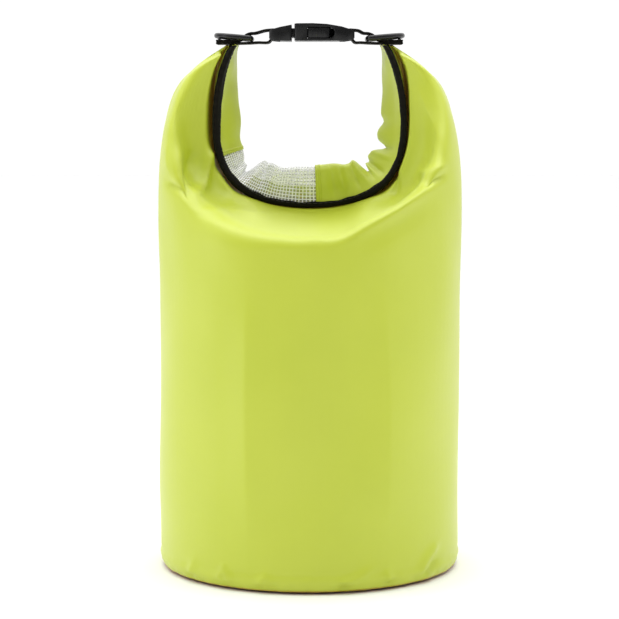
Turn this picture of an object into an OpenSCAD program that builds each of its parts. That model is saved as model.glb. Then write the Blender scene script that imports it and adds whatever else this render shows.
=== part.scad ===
// Roll-top dry sack: a welded tube of coated fabric with a clear strip down its back. The mouth is folded
// over to the front, bent up into a U and held by a side-release buckle, which makes the carrying loop.
// Millimetres. X runs left to right, Y front to back and Z up. The origin is on the floor under the centre.

/* [Bag] */
// Width of the filled bag, left to right
bag_w = 190; // [186:1:194]
// Depth of the filled bag, front to back
bag_d = 184; // [176:1:186]
// Modelled thickness of the coated fabric
fabric_t = 1; // [0.8:0.1:1.2]
// Height of the welded flange of the base
base_flange_h = 12; // [8:1:20]

/* [Folded mouth] */
// Height of the mouth's lowest edge above the floor
mouth_low = 226; // [224:0.5:228]
// Height of the mouth's two ends above the floor
mouth_high = 328.8; // [328.4:0.1:329]
// Half of the widest span of the folded mouth
mouth_half = 61; // [59:0.5:62]
// Half of the span between the mouth's two ends
mouth_end_half = 48.5; // [48:0.5:50]
// Depth of the fold, from the bound edge to the crease
fold_w = 28; // [26:0.5:28]
// Turn of the fold about its own length at the two ends, in degrees
fold_turn = 86; // [80:1:88]
// Height of the bound edge
binding_h = 5.9; // [5.5:0.1:6.5]

/* [Straps and rings] */
// Width of the webbing
webbing_w = 25; // [23:0.5:25]
// Thickness of the webbing
webbing_t = 1.4; // [1.2:0.1:1.5]
// Distance of each ring's straight bar from the middle
ring_bar_x = 36.5; // [36:0.1:37]
// Radius of the ring's stock
ring_r = 1.7; // [1.6:0.05:1.75]
// Radius of the ring's bow, at the middle of the stock
ring_bow_r = 15; // [15:0.1:15.5]
// Tilt of a ring at rest, its bow up, in degrees
ring_tilt = 5; // [5:0.5:7]

/* [Buckle] */
// Height of the middle of the buckle above the floor
buckle_z = 336.2; // [336:0.1:336.4]
// Width of the socket half
socket_w = 33; // [32.8:0.1:34]
// Place of the socket's mouth
socket_x0 = -9.3; // [-9.4:0.1:-9.2]
// Place of the socket's strap end
socket_x1 = 27.9; // [27.8:0.1:28]
// Place of the plug's strap end
plug_x0 = -25; // [-25.2:0.1:-24.9]
// Place of the plug's shoulder
plug_x1 = -11.1; // [-11.2:0.1:-11]

/* [Hidden] */

lime = [0.78, 0.83, 0.25];
clear = [0.9, 0.93, 0.85, 0.5];
black = [0.06, 0.06, 0.06];

// ---- small vector helpers ----
function unit(v) = v / norm(v);
function mix(a, b, t) = a + (b - a) * t;
function clamp01(t) = max(0, min(1, t));
function smooth(t) = let (c = clamp01(t)) c * c * (3 - 2 * c);
function bezier(a, b, c, d, t) =
    a * pow(1 - t, 3) + b * 3 * t * pow(1 - t, 2) + c * 3 * t * t * (1 - t) + d * pow(t, 3);

// ---- the line of the mouth: s runs from -1 at the left end, through 0 at the lowest point, to 1 ----
// Share of a half's length at which the side of the U begins, and the height of that place
side_from = 0.62;
side_z = 278;
// Half of the mouth's line, x and z, for s from 0 to 1
function mouth_half_line(s) = s < side_from
    ? bezier([0, mouth_low], [36, mouth_low], [mouth_half, 240], [mouth_half, side_z], s / side_from)
    : bezier([mouth_half, side_z], [mouth_half, side_z + 21], [mouth_half - 3, mouth_high - 13],
        [mouth_end_half, mouth_high], (s - side_from) / (1 - side_from));
function mouth_line(s) = let (p = mouth_half_line(abs(s))) [sign(s) * p[0], p[1]];
function mouth_turn(s) = fold_turn * (0.68 * smooth((abs(s) - 0.12) / 0.3) + 0.32 * smooth((abs(s) - 0.62) / 0.38));
// The way towards the middle of the loop, in the X-Z plane
function mouth_inward(s) =
    let (a = max(-1, s - 0.01), b = min(1, s + 0.01), t = unit(mouth_line(b) - mouth_line(a))) [-t[1], 0, t[0]];
// Across the fold, from the bound edge to the crease
function across(s) = mouth_inward(s) * cos(mouth_turn(s)) + [0, sin(mouth_turn(s)), 0];
// Out of the fold's front face
function outward(s) = mouth_inward(s) * sin(mouth_turn(s)) - [0, cos(mouth_turn(s)), 0];
// A point of the folded mouth: w across the fold, n out of its front face. The two ends are cut level.
function on_fold(s, w, n) = let (
        p = mouth_line(s),
        d = across(s) * w + outward(s) * n,
        level = 1 - smooth((abs(s) - 0.8) / 0.2))
    [p[0], -fold_w / 2 * sin(mouth_turn(s)), p[1]] + [d[0], d[1], d[2] * level];

// ---- the bag's wall: u runs once round from the left by the front, v from the floor to the mouth ----
wall_z0 = 0.4;
back_wall_z = 184;
side_wall_z = 234;
function mouth_s(u) = let (c = u - floor(u)) c < 0.5 ? -1 + 4 * c : 3 - 4 * c;
function in_front(u) = (u - floor(u)) < 0.5;
function wall_at(u, z) = let (a = 180 + 360 * u) [bag_w / 2 * cos(a), bag_d / 2 * sin(a), z];
// How sharply the front breaks over to the shelf below the loop: 1 in the middle, 0 at the sides and behind
function crisp(u) = in_front(u) ? 1 - smooth((abs(mouth_s(u)) - 0.45) / 0.35) : 0;
// The height of the corner that the front breaks over: lowest in the middle, and climbing from a bend on the right
ridge_low_z = 215;
ridge_bend_x = 20;
function ridge_z(x) = let (right = x - ridge_bend_x)
    ridge_low_z + 0.0018 * pow(min(x, 0), 2) + 0.25 * (right + norm([right, 5]));
// How far below its corner the front starts to turn: the left is softer
function corner_h(x) = mix(14, 6, smooth((x + 60) / 70));
// The height at which the straight wall ends
function wall_top(u) = let (x = wall_at(u, 0)[0])
    mix(mix(back_wall_z, side_wall_z, smooth(pow(abs(cos(180 + 360 * u)), 1.4))), ridge_z(x) - corner_h(x), crisp(u));
// Where the two panels meet the fold: the front one at its bound edge, the back one on its rear face
function seam_end(u) = let (
        s = mouth_s(u),
        side = smooth((abs(s) - 0.15) / 0.35),
        tip_w = smooth((abs(s) - 0.92) / 0.08),
        tip_n = smooth((abs(s) - 0.83) / 0.09),
        front = [-0.6, -0.9],
        clear_of_fold = smooth((abs(s) - 0.13) / 0.12),
        back = [mix(-0.6, 8, side), mix(-3.1, -4.7, clear_of_fold)],
        here = in_front(u) ? front : back,
        middle = [3.4, -4.5])
    on_fold(s, mix(here[0], middle[0], tip_w), mix(here[1], middle[1], tip_n));
// The way the panel runs as it reaches the fold
function seam_way(u) = let (
        s = mouth_s(u),
        side = smooth((abs(s) - 0.15) / 0.35),
        tip = smooth((abs(s) - 0.8) / 0.2),
        front = across(s) * mix(0.3, 0.85, side) + outward(s) * mix(-0.95, 0.45, side),
        back = mix(across(s) * 0.85 + outward(s) * 0.5, outward(s) * 0.9 + [0, -0.35, 0.2], side),
        corner = [-sign(s) * 0.84, 0, 0.54])
    unit(mix(unit(in_front(u) ? front : back), corner, tip));
// The corner's share of the way over, and how straight the shelf runs where it meets the bound edge
corner_share = 0.3;
shelf_reach = 24;
// Up from the straight wall, round the corner and along the shelf
function over_ridge(u, p0, p1, t) = let (
        h = corner_h(p0[0]),
        ridge = p0 + [0, 0, h],
        brow = mix(ridge, p1, 0.015 * h))
    t < corner_share
        ? bezier(p0, mix(p0, ridge, 0.75), mix(brow, ridge, 0.75), brow, t / corner_share)
        : bezier(brow, mix(brow, p1, 0.35), p1 - seam_way(u) * shelf_reach, p1, (t - corner_share) / (1 - corner_share));
function shoulder(u, t) = let (
        s = abs(mouth_s(u)),
        p0 = wall_at(u, wall_top(u)),
        p1 = seam_end(u),
        rise = mix(36, 72, smooth(s)),
        reach = mix(in_front(u) ? 40 : 26, 27, smooth(s * 1.3)))
    mix(bezier(p0, p0 + [0, 0, rise], p1 - seam_way(u) * reach, p1, t), over_ridge(u, p0, p1, t), crisp(u));
wall_share = 0.4;
function wall(u, v) = v < wall_share
    ? wall_at(u, mix(wall_z0, wall_top(u), v / wall_share))
    : shoulder(u, (v - wall_share) / (1 - wall_share));
// The way out of the wall
function wall_normal(u, v) = let (
        du = 0.004,
        a = wall(u - du, v),
        b = wall(u + du, v),
        c = wall(u, max(0, v - 0.01)),
        d = wall(u, min(1, v + 0.01)))
    unit(cross(b - a, d - c));

// Rows of the wall, close together where it turns over the shoulder
wall_rows = concat([0, 0.03, 0.13, 0.27], [for (i = [0:15]) wall_share + (1 - wall_share) * i / 15]);

// A closed sheet between two grids of points, each a list of rows of the same length
module sheet(outer, inner) {
    rows = len(outer);
    n = len(outer[0]);
    points = [for (g = [outer, inner]) for (r = g) each r];
    m = rows * n;
    faces = concat(
        [for (i = [0:rows - 2], j = [0:n - 2]) each let (k = i * n + j)
            [[k, k + n, k + n + 1], [k, k + n + 1, k + 1],
             [m + k, m + k + n + 1, m + k + n], [m + k, m + k + 1, m + k + n + 1]]],
        [for (i = [0:rows - 2]) each let (k = i * n, e = k + n - 1)
            [[k, m + k, m + k + n], [k, m + k + n, k + n], [e, e + n, m + e + n], [e, m + e + n, m + e]]],
        [for (j = [0:n - 2]) each let (t = (rows - 1) * n + j)
            [[j, j + 1, m + j + 1], [j, m + j + 1, m + j], [t, m + t, m + t + 1], [t, m + t + 1, t + 1]]]);
    polyhedron(points = points, faces = faces);
}

// A panel of the wall between two places round it
module wall_panel(u0, u1, columns) {
    us = [for (i = [0:columns]) mix(u0, u1, i / columns)];
    outer = [for (v = wall_rows) [for (u = us) wall(u, v)]];
    inner = [for (v = wall_rows) [for (u = us) wall(u, v) - wall_normal(u, v) * fabric_t]];
    sheet(outer, inner);
}

// A bar swept along the fold. Its section lies between two chains of as many [w, n] corners each.
module fold_bar(s0, s1, chain, facing) {
    rings = round((s1 - s0) / fold_step);
    c = len(chain);
    n = 2 * c;
    corners = concat(chain, [for (i = [c - 1:-1:0]) facing[i]]);
    stations = [for (i = [0:rings]) mix(s0, s1, i / rings)];
    points = [for (s = stations) for (p = corners) on_fold(s, p[0], p[1] * puff(s, p[0]))];
    // each four-sided facet is cut along its other diagonal on the left, so that the two arms mirror each other
    sides = [for (i = [0:rings - 1], j = [0:n - 1]) each let (a = i * n + j, b = i * n + (j + 1) % n)
        stations[i] < -fold_step / 2 ? [[a, b, a + n], [b, b + n, a + n]] : [[a, b, b + n], [a, b + n, a + n]]];
    ends = [for (j = [0:c - 2]) each let (e = rings * n)
        [[j, n - 1 - j, n - 2 - j], [j, n - 2 - j, j + 1],
         [e + j, e + n - 2 - j, e + n - 1 - j], [e + j, e + j + 1, e + n - 2 - j]]];
    polyhedron(points = points, faces = concat(sides, ends));
}
// The crease is full along the bottom of the loop and pressed flat at its two ends
function puff(s, w) = mix(1, mix(1.3, 0.75, smooth((abs(s) - 0.75) / 0.25)), smooth((w - 8) / 12));

// Every layer of the fold has its rings at the same steps along the mouth, so that the layers stay clear
fold_step = 0.025;
// The window lies in the back panel, between these two places along the mouth
window_s0 = -0.5;
window_s1 = 0.025;
function back_u(s) = (3 - s) / 4;

module body_fabric() {
    color(lime) wall_panel(back_u(window_s0) - 1, back_u(window_s1), 44);
}

module body_window() {
    color(clear) wall_panel(back_u(window_s1), back_u(window_s0), 8);
}

// ---- the base: a disc with its rim turned up inside the wall ----
base_gap = 0.25;
function oval(inset, count = 72) = [for (i = [0:count - 1]) let (a = 360 * i / count)
    [(bag_w / 2 - inset) * cos(a), (bag_d / 2 - inset) * sin(a)]];

module base_panel() {
    outer = fabric_t + base_gap + 0.3;
    color(lime) {
        linear_extrude(fabric_t) polygon(oval(outer));
        translate([0, 0, fabric_t]) linear_extrude(base_flange_h - fabric_t) difference() {
            polygon(oval(outer));
            polygon(oval(outer + fabric_t));
        }
    }
}

// A tape inside, over the edge of the turned-up rim
module base_weld_tape() {
    lap = fabric_t + base_gap + 0.3 + fabric_t + 0.1;
    color(lime) translate([0, 0, base_flange_h - 7]) linear_extrude(14) difference() {
        polygon(oval(lap));
        polygon(oval(lap + 0.6));
    }
}

// ---- the folded mouth ----
half_n = 3.4;
outer_t = 0.9;
crease_w = fold_w - half_n * 1.3;
// The inner layer is folded tight round the stiffener
inner_half_n = 1.3;
inner_t = 0.8;
inner_crease_w = 13;
stiffener_half_n = 0.35;
// The binding's edge, measured across the fold
binding_top = binding_h - 1.3;
// One face of a folded layer: r is half the thickness it encloses and c the place its crease begins
function hairpin(r, c) = concat([[0, r], [binding_top, r], [c * 0.5, r]],
    [for (a = [0:30:180]) [c + r * 1.3 * sin(a), r * cos(a)]], [[c * 0.5, -r], [binding_top, -r], [0, -r]]);

module fold_layer(s0, s1, r, t, c) {
    fold_bar(s0, s1, hairpin(r, c), hairpin(r - t, c));
}

module roll_outer_fabric() {
    color(lime) {
        fold_layer(-1, window_s0, half_n, outer_t, crease_w);
        fold_layer(window_s1, 1, half_n, outer_t, crease_w);
    }
}

module roll_window() {
    color(clear) fold_layer(window_s0, window_s1, half_n, outer_t, crease_w);
}

module roll_inner_fabric() {
    color(lime) fold_layer(-1, 1, inner_half_n, inner_t, inner_crease_w);
}

module stiffener_strip() {
    color(black) fold_bar(-0.975, 0.975, [[3, stiffener_half_n], [12.5, stiffener_half_n]],
        [[3, -stiffener_half_n], [12.5, -stiffener_half_n]]);
}

module mouth_binding() {
    top = binding_top;
    color(black) fold_bar(-1, 1,
        [[top, 1.45], [-0.9, 1.45], [-1.3, 1.9], [-1.3, 3.95], [-0.9, 4.4], [top, 4.4]],
        [[top, 2.4], [-0.1, 2.4], [-0.1, 2.7], [-0.1, 3.2], [-0.1, 3.5], [top, 3.5]]);
}

// Short stitches along the binding's front face
stitch_count = 58;
module binding_stitches() {
    color(black) for (i = [0:stitch_count - 1]) {
        s = -0.96 + 1.92 * i / (stitch_count - 1);
        a = on_fold(s - 0.0065, binding_h - 2.6, 4.75);
        b = on_fold(s + 0.0065, binding_h - 2.6, 4.75);
        way = b - a;
        translate(a) rotate([0, acos(way[2] / norm(way)), atan2(way[1], way[0])])
            cylinder(r = 0.22, h = norm(way), $fn = 16);
    }
}

// ---- straps: a band of webbing through the ring, round the buckle's bar and back ----
layer_z = mouth_high + 1.05;
upper_layer_z = layer_z + webbing_t + 0.05;
ring_z = layer_z + 2.95;
strap_tail_x = 58;
bar_wrap_r = 2.15 + webbing_t / 2;

// The band's middle line for a strap on the right, whose buckle bar stands at bar_x, bar_z
function strap_line(bar_x, bar_z) = concat(
    [[strap_tail_x, layer_z], [50, layer_z], [44, layer_z], [37, layer_z + 0.2], [32, layer_z + 0.5],
     [bar_x + 3, bar_z - 5]],
    [for (a = [-75:-30:-285]) [bar_x + bar_wrap_r * cos(a), bar_z + bar_wrap_r * sin(a)]],
    [[bar_x + 5, bar_z + 2.3], [ring_bar_x - 3, ring_z + 3.4], [ring_bar_x, ring_z + 3.15],
     [ring_bar_x + 3, ring_z + 2], [ring_bar_x + 6, ring_z - 0.6], [ring_bar_x + 9, upper_layer_z + 0.25],
     [ring_bar_x + 11.5, upper_layer_z], [strap_tail_x, upper_layer_z]]);
// A smooth line through the points p
function spline(p, steps) = let (n = len(p)) concat([for (i = [0:n - 2], k = [0:steps - 1]) let (
        a = p[max(0, i - 1)], b = p[i], c = p[i + 1], d = p[min(n - 1, i + 2)], t = k / steps)
    ((b * 2) + (c - a) * t + (a * 2 - b * 5 + c * 4 - d) * t * t + (b * 3 - a - c * 3 + d) * t * t * t) / 2],
    [p[n - 1]]);
function line_side(p, i) = let (t = unit(p[min(len(p) - 1, i + 1)] - p[max(0, i - 1)])) [-t[1], t[0]];
function band(p, t) = concat([for (i = [0:len(p) - 1]) p[i] + line_side(p, i) * t / 2],
    [for (i = [len(p) - 1:-1:0]) p[i] - line_side(p, i) * t / 2]);

module strap(bar_x, bar_z) {
    color(black) translate([0, webbing_w / 2, 0]) rotate([90, 0, 0])
        linear_extrude(webbing_w) polygon(band(spline(strap_line(bar_x, bar_z), 3), webbing_t));
}

plug_bar_x = plug_x0 + 2.2;
socket_bar_x = socket_x1 - 2.5;
strap_bar_z = buckle_z - 0.8;

module left_strap() {
    mirror([1, 0, 0]) strap(-plug_bar_x, strap_bar_z);
}

module right_strap() {
    strap(socket_bar_x, strap_bar_z);
}

// Zigzag bar of thread through the sewn ends of a strap
module bartack() {
    top = upper_layer_z + webbing_t / 2 + 0.05;
    color(black) for (x = [50.5, 56], i = [0:8]) translate([x - 1, -10.2 + i * 2.4, top]) cube([2, 1.2, 0.35]);
}

module left_bartack() {
    mirror([1, 0, 0]) bartack();
}

module right_bartack() {
    bartack();
}

// ---- rings: a straight bar closed by a bow ----
ring_leg = 6.5;
module d_ring() {
    color(black) translate([ring_bar_x, 0, ring_z]) rotate([0, -ring_tilt, 0]) {
        translate([0, -ring_bow_r, 0]) rotate([-90, 0, 0]) cylinder(r = ring_r, h = 2 * ring_bow_r, $fn = 48);
        for (side = [-1, 1]) translate([0, side * ring_bow_r, 0]) {
            sphere(r = ring_r, $fn = 48);
            rotate([0, 90, 0]) cylinder(r = ring_r, h = ring_leg, $fn = 48);
        }
        translate([ring_leg, 0, 0]) rotate([0, 0, -90]) rotate_extrude(angle = 180, $fn = 96)
            translate([ring_bow_r, 0]) circle(r = ring_r, $fn = 48);
    }
}

module left_d_ring() {
    mirror([1, 0, 0]) d_ring();
}

module right_d_ring() {
    d_ring();
}

// ---- the buckle's plug half, with two sprung prongs, and its socket half ----
slot_half = webbing_w / 2 + 0.5;
cavity_half = 13.9;
cavity_z0 = buckle_z - 3.4;
cavity_z1 = buckle_z + 3.4;
prong_pivot = [plug_x1 + 0.7, -11];
knuckle_r = 1.4;

// A block whose side view and plan are both given
module shaped_block(side_view, plan, half_width) {
    intersection() {
        translate([0, half_width, 0]) rotate([90, 0, 0]) linear_extrude(2 * half_width) polygon(side_view);
        translate([0, 0, buckle_z - 10]) linear_extrude(20) polygon(plan);
    }
}

module buckle_plug() {
    z = buckle_z;
    side_view = [[plug_x0, z - 3.4], [plug_x0 + 1, z - 4.6], [plug_x0 + 5, z - 5], [plug_x1, z - 5.1],
        [plug_x1, z + 4.9], [plug_x0 + 7, z + 3.6], [plug_x0 + 1, z + 2], [plug_x0, z + 1.2]];
    plan = [[plug_x0, -13.4], [plug_x0 + 1.5, -14.6], [plug_x1 - 1.5, -16.2], [plug_x1, -15.6],
        [plug_x1, 15.6], [plug_x1 - 1.5, 16.2], [plug_x0 + 1.5, 14.6], [plug_x0, 13.4]];
    color(black) difference() {
        union() {
            difference() {
                shaped_block(side_view, plan, 17);
                translate([plug_x0 - 1, -slot_half, z - 10]) cube([plug_x0 * -1 - 18.4 + 1, 2 * slot_half, 20]);
            }
            translate([plug_bar_x, -14, strap_bar_z]) rotate([-90, 0, 0]) cylinder(r = 2, h = 28, $fn = 48);
            translate([plug_x1 - 0.5, -8.4, cavity_z0 + 0.5]) cube([3.6, 16.8, 5.8]);
            translate([plug_x1 - 0.5, -1.8, cavity_z0 + 0.9]) cube([19, 3.6, 5]);
            translate([plug_x1 + 18.5, 0, cavity_z0 + 0.9]) cylinder(r = 1.8, h = 5, $fn = 32);
        }
        for (side = [-1, 1]) translate([prong_pivot[0], side * -prong_pivot[1], z - 4])
            cylinder(r = knuckle_r + 0.06, h = 8, $fn = 48);
    }
}

// A prong: its arm turns on a knuckle, and its pad fills the socket's side window
module prong() {
    x = prong_pivot[0];
    y = prong_pivot[1];
    arm = [[x, y + 1.3], [x, y - 1.3], [x + 5, y - 1.9], [x + 9.2, y - 2.6], [x + 9.4, y - 2.7], [x + 15, y - 2.9],
        [x + 22.5, y - 3.2], [x + 26.1, y - 0.6], [x + 26.8, y + 0.8], [x + 25.6, y + 1.4], [x + 19, y],
        [x + 12, y - 0.2]];
    pad = [[x + 9.4, y - 1.8], [x + 9.4, y - 4.7], [x + 10, y - 5], [x + 20, y - 5], [x + 22.6, y - 3.9],
        [x + 23.6, y - 1.8]];
    color(black) {
        translate([0, 0, buckle_z - 2.6]) linear_extrude(5.2) polygon(arm);
        translate([0, 0, buckle_z - 3.1]) linear_extrude(6.2) polygon(pad);
        translate([x, y, buckle_z - 2.6]) cylinder(r = knuckle_r, h = 5.2, $fn = 48);
    }
}

module front_prong() {
    prong();
}

module rear_prong() {
    mirror([0, 1, 0]) prong();
}

module buckle_socket() {
    z = buckle_z;
    half = socket_w / 2;
    window_x0 = socket_x0 + 7.9;
    side_view = [[socket_x0, z - 4.8], [socket_x0 + 1, z - 5], [socket_x1 - 6, z - 5], [socket_x1 - 0.6, z - 4.2],
        [socket_x1, z - 3], [socket_x1, z + 0.6], [socket_x1 - 0.6, z + 1.6], [socket_x1 - 8, z + 3.8],
        [socket_x1 - 17, z + 5.3], [socket_x1 - 26, z + 5.8], [socket_x0 + 1, z + 5.7], [socket_x0, z + 5.4]];
    plan = [[socket_x0, 1 - half], [socket_x0 + 1, -half], [socket_x1 - 12, -half], [socket_x1 - 3, 1.5 - half],
        [socket_x1, 3 - half], [socket_x1, half - 3], [socket_x1 - 3, half - 1.5], [socket_x1 - 12, half],
        [socket_x0 + 1, half], [socket_x0, half - 1]];
    color(black) union() {
        difference() {
            shaped_block(side_view, plan, half + 1);
            translate([socket_x0 - 1, -cavity_half, cavity_z0])
                cube([socket_x1 - 9.5 - socket_x0 + 1 - 1.4, 2 * cavity_half, cavity_z1 - cavity_z0]);
            translate([window_x0, -half - 1, z - 3.5]) cube([13.5, socket_w + 2, 7]);
            translate([window_x0 + 13.5, half + 1, z]) rotate([90, 0, 0])
                cylinder(r = 3.5, h = socket_w + 2, $fn = 48);
            translate([socket_x1 - 9, -slot_half, z - 10]) cube([10, 2 * slot_half, 20]);
        }
        translate([socket_bar_x, -slot_half - 0.5, strap_bar_z]) rotate([-90, 0, 0])
            cylinder(r = 2, h = 2 * slot_half + 1, $fn = 48);
    }
}

body_fabric();
body_window();
base_panel();
base_weld_tape();
roll_outer_fabric();
roll_inner_fabric();
roll_window();
stiffener_strip();
mouth_binding();
binding_stitches();
left_strap();
right_strap();
left_bartack();
right_bartack();
left_d_ring();
right_d_ring();
buckle_plug();
front_prong();
rear_prong();
buckle_socket();
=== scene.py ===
"""A roll-top dry bag: a welded tube of coated fabric, its mouth folded over and buckled into a carrying loop.

Everything is in the frame's metres. The shapes of the wall and of the folded mouth are worked out in
millimetres by the classes Mouth and Wall, which follow the CAD model, and are scaled where a mesh gets its
points.
"""
import logging
import math
from dataclasses import dataclass, field
from enum import Enum
from typing import Callable

import bmesh
import bpy
import numpy as np
from mathutils import Matrix, Vector


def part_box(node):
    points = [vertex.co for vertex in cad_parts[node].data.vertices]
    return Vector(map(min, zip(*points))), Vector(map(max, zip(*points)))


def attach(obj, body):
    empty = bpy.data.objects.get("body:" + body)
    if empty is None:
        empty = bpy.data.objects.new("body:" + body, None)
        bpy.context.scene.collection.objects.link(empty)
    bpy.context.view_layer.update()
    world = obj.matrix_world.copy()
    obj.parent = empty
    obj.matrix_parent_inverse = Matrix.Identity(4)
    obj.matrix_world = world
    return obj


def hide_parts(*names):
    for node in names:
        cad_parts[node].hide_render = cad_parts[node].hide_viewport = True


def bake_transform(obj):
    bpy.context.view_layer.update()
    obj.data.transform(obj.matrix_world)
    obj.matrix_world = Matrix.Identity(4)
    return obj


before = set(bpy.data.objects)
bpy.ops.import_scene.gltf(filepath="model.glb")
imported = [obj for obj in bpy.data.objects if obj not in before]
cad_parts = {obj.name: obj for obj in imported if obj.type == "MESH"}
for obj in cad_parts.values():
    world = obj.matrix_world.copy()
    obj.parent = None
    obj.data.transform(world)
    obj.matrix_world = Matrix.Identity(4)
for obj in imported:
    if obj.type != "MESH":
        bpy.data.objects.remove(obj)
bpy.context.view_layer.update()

LOG = logging.getLogger("dry_bag")
MM = 0.001
# the radians that a wave texture of scale 1 goes through in a metre
WAVE_TURN = 20.0

Array = np.ndarray
Socket = bpy.types.NodeSocket
Colour = tuple[float, float, float, float]


# -------------------------------------------------------------------------------------------- small helpers


def mix(a: Array, b: Array, t: Array) -> Array:
    """Goes from a to b as t goes from 0 to 1."""
    return a + (b - a) * t


def smooth(t: Array) -> Array:
    """Eases t from 0 to 1, and holds it there outside."""
    c = np.clip(t, 0.0, 1.0)
    return c * c * (3.0 - 2.0 * c)


def bump(x: Array, centre: float, width: float) -> Array:
    """A smooth hill of height 1 at centre that has all but gone at twice width to either side."""
    return np.exp(-(((x - centre) / width) ** 2))


def bezier(a: Array, b: Array, c: Array, d: Array, t: Array) -> Array:
    """A point of the cubic curve through a and d, with handles b and c."""
    s = 1.0 - t
    return a * s**3 + b * (3.0 * t * s**2) + c * (3.0 * t * t * s) + d * t**3


def unit(v: Array) -> Array:
    """Gives vectors the length 1."""
    return v / np.maximum(np.linalg.norm(v, axis=-1, keepdims=True), 1e-9)


def vec(*parts: Array) -> Array:
    """Stacks coordinates, numbers or arrays, into vectors."""
    return np.stack(np.broadcast_arrays(*[np.asarray(p, float) for p in parts]), -1)


def run_along(points: Array) -> Array:
    """How far along a line each of its points lies."""
    return np.concatenate([[0.0], np.cumsum(np.linalg.norm(np.diff(points, axis=0), axis=1))])


def linear(code: str) -> Colour:
    """Turns an sRGB hex colour into the linear colour that a shader wants.

    Args:
        code: the colour, such as "#C8D23C".

    Returns:
        Red, green, blue and an alpha of 1.
    """
    parts = [int(code[i : i + 2], 16) / 255.0 for i in (1, 3, 5)]
    return (*[p / 12.92 if p <= 0.04045 else ((p + 0.055) / 1.055) ** 2.4 for p in parts], 1.0)


def node_extent(name: str) -> tuple[Vector, Vector]:
    """The lowest and highest corner of a CAD node, in millimetres."""
    low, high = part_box(name)
    return low / MM, high / MM


# -------------------------------------------------------------------------------------------- the fold line


@dataclass(frozen=True)
class Pinch:
    """A place where the fold is gathered: its crease dips towards the bound edge and its faces draw in.

    Attributes:
        at: the place along the mouth, from -1 at its left end to 1.
        width: how far the pinch reaches along the mouth.
        dip: how far the crease drops towards the bound edge, in millimetres. Less than 0 is a bulge.
        push: how far the crease moves out of the front face, in millimetres.
    """

    at: float
    width: float
    dip: float
    push: float = 0.0


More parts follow.
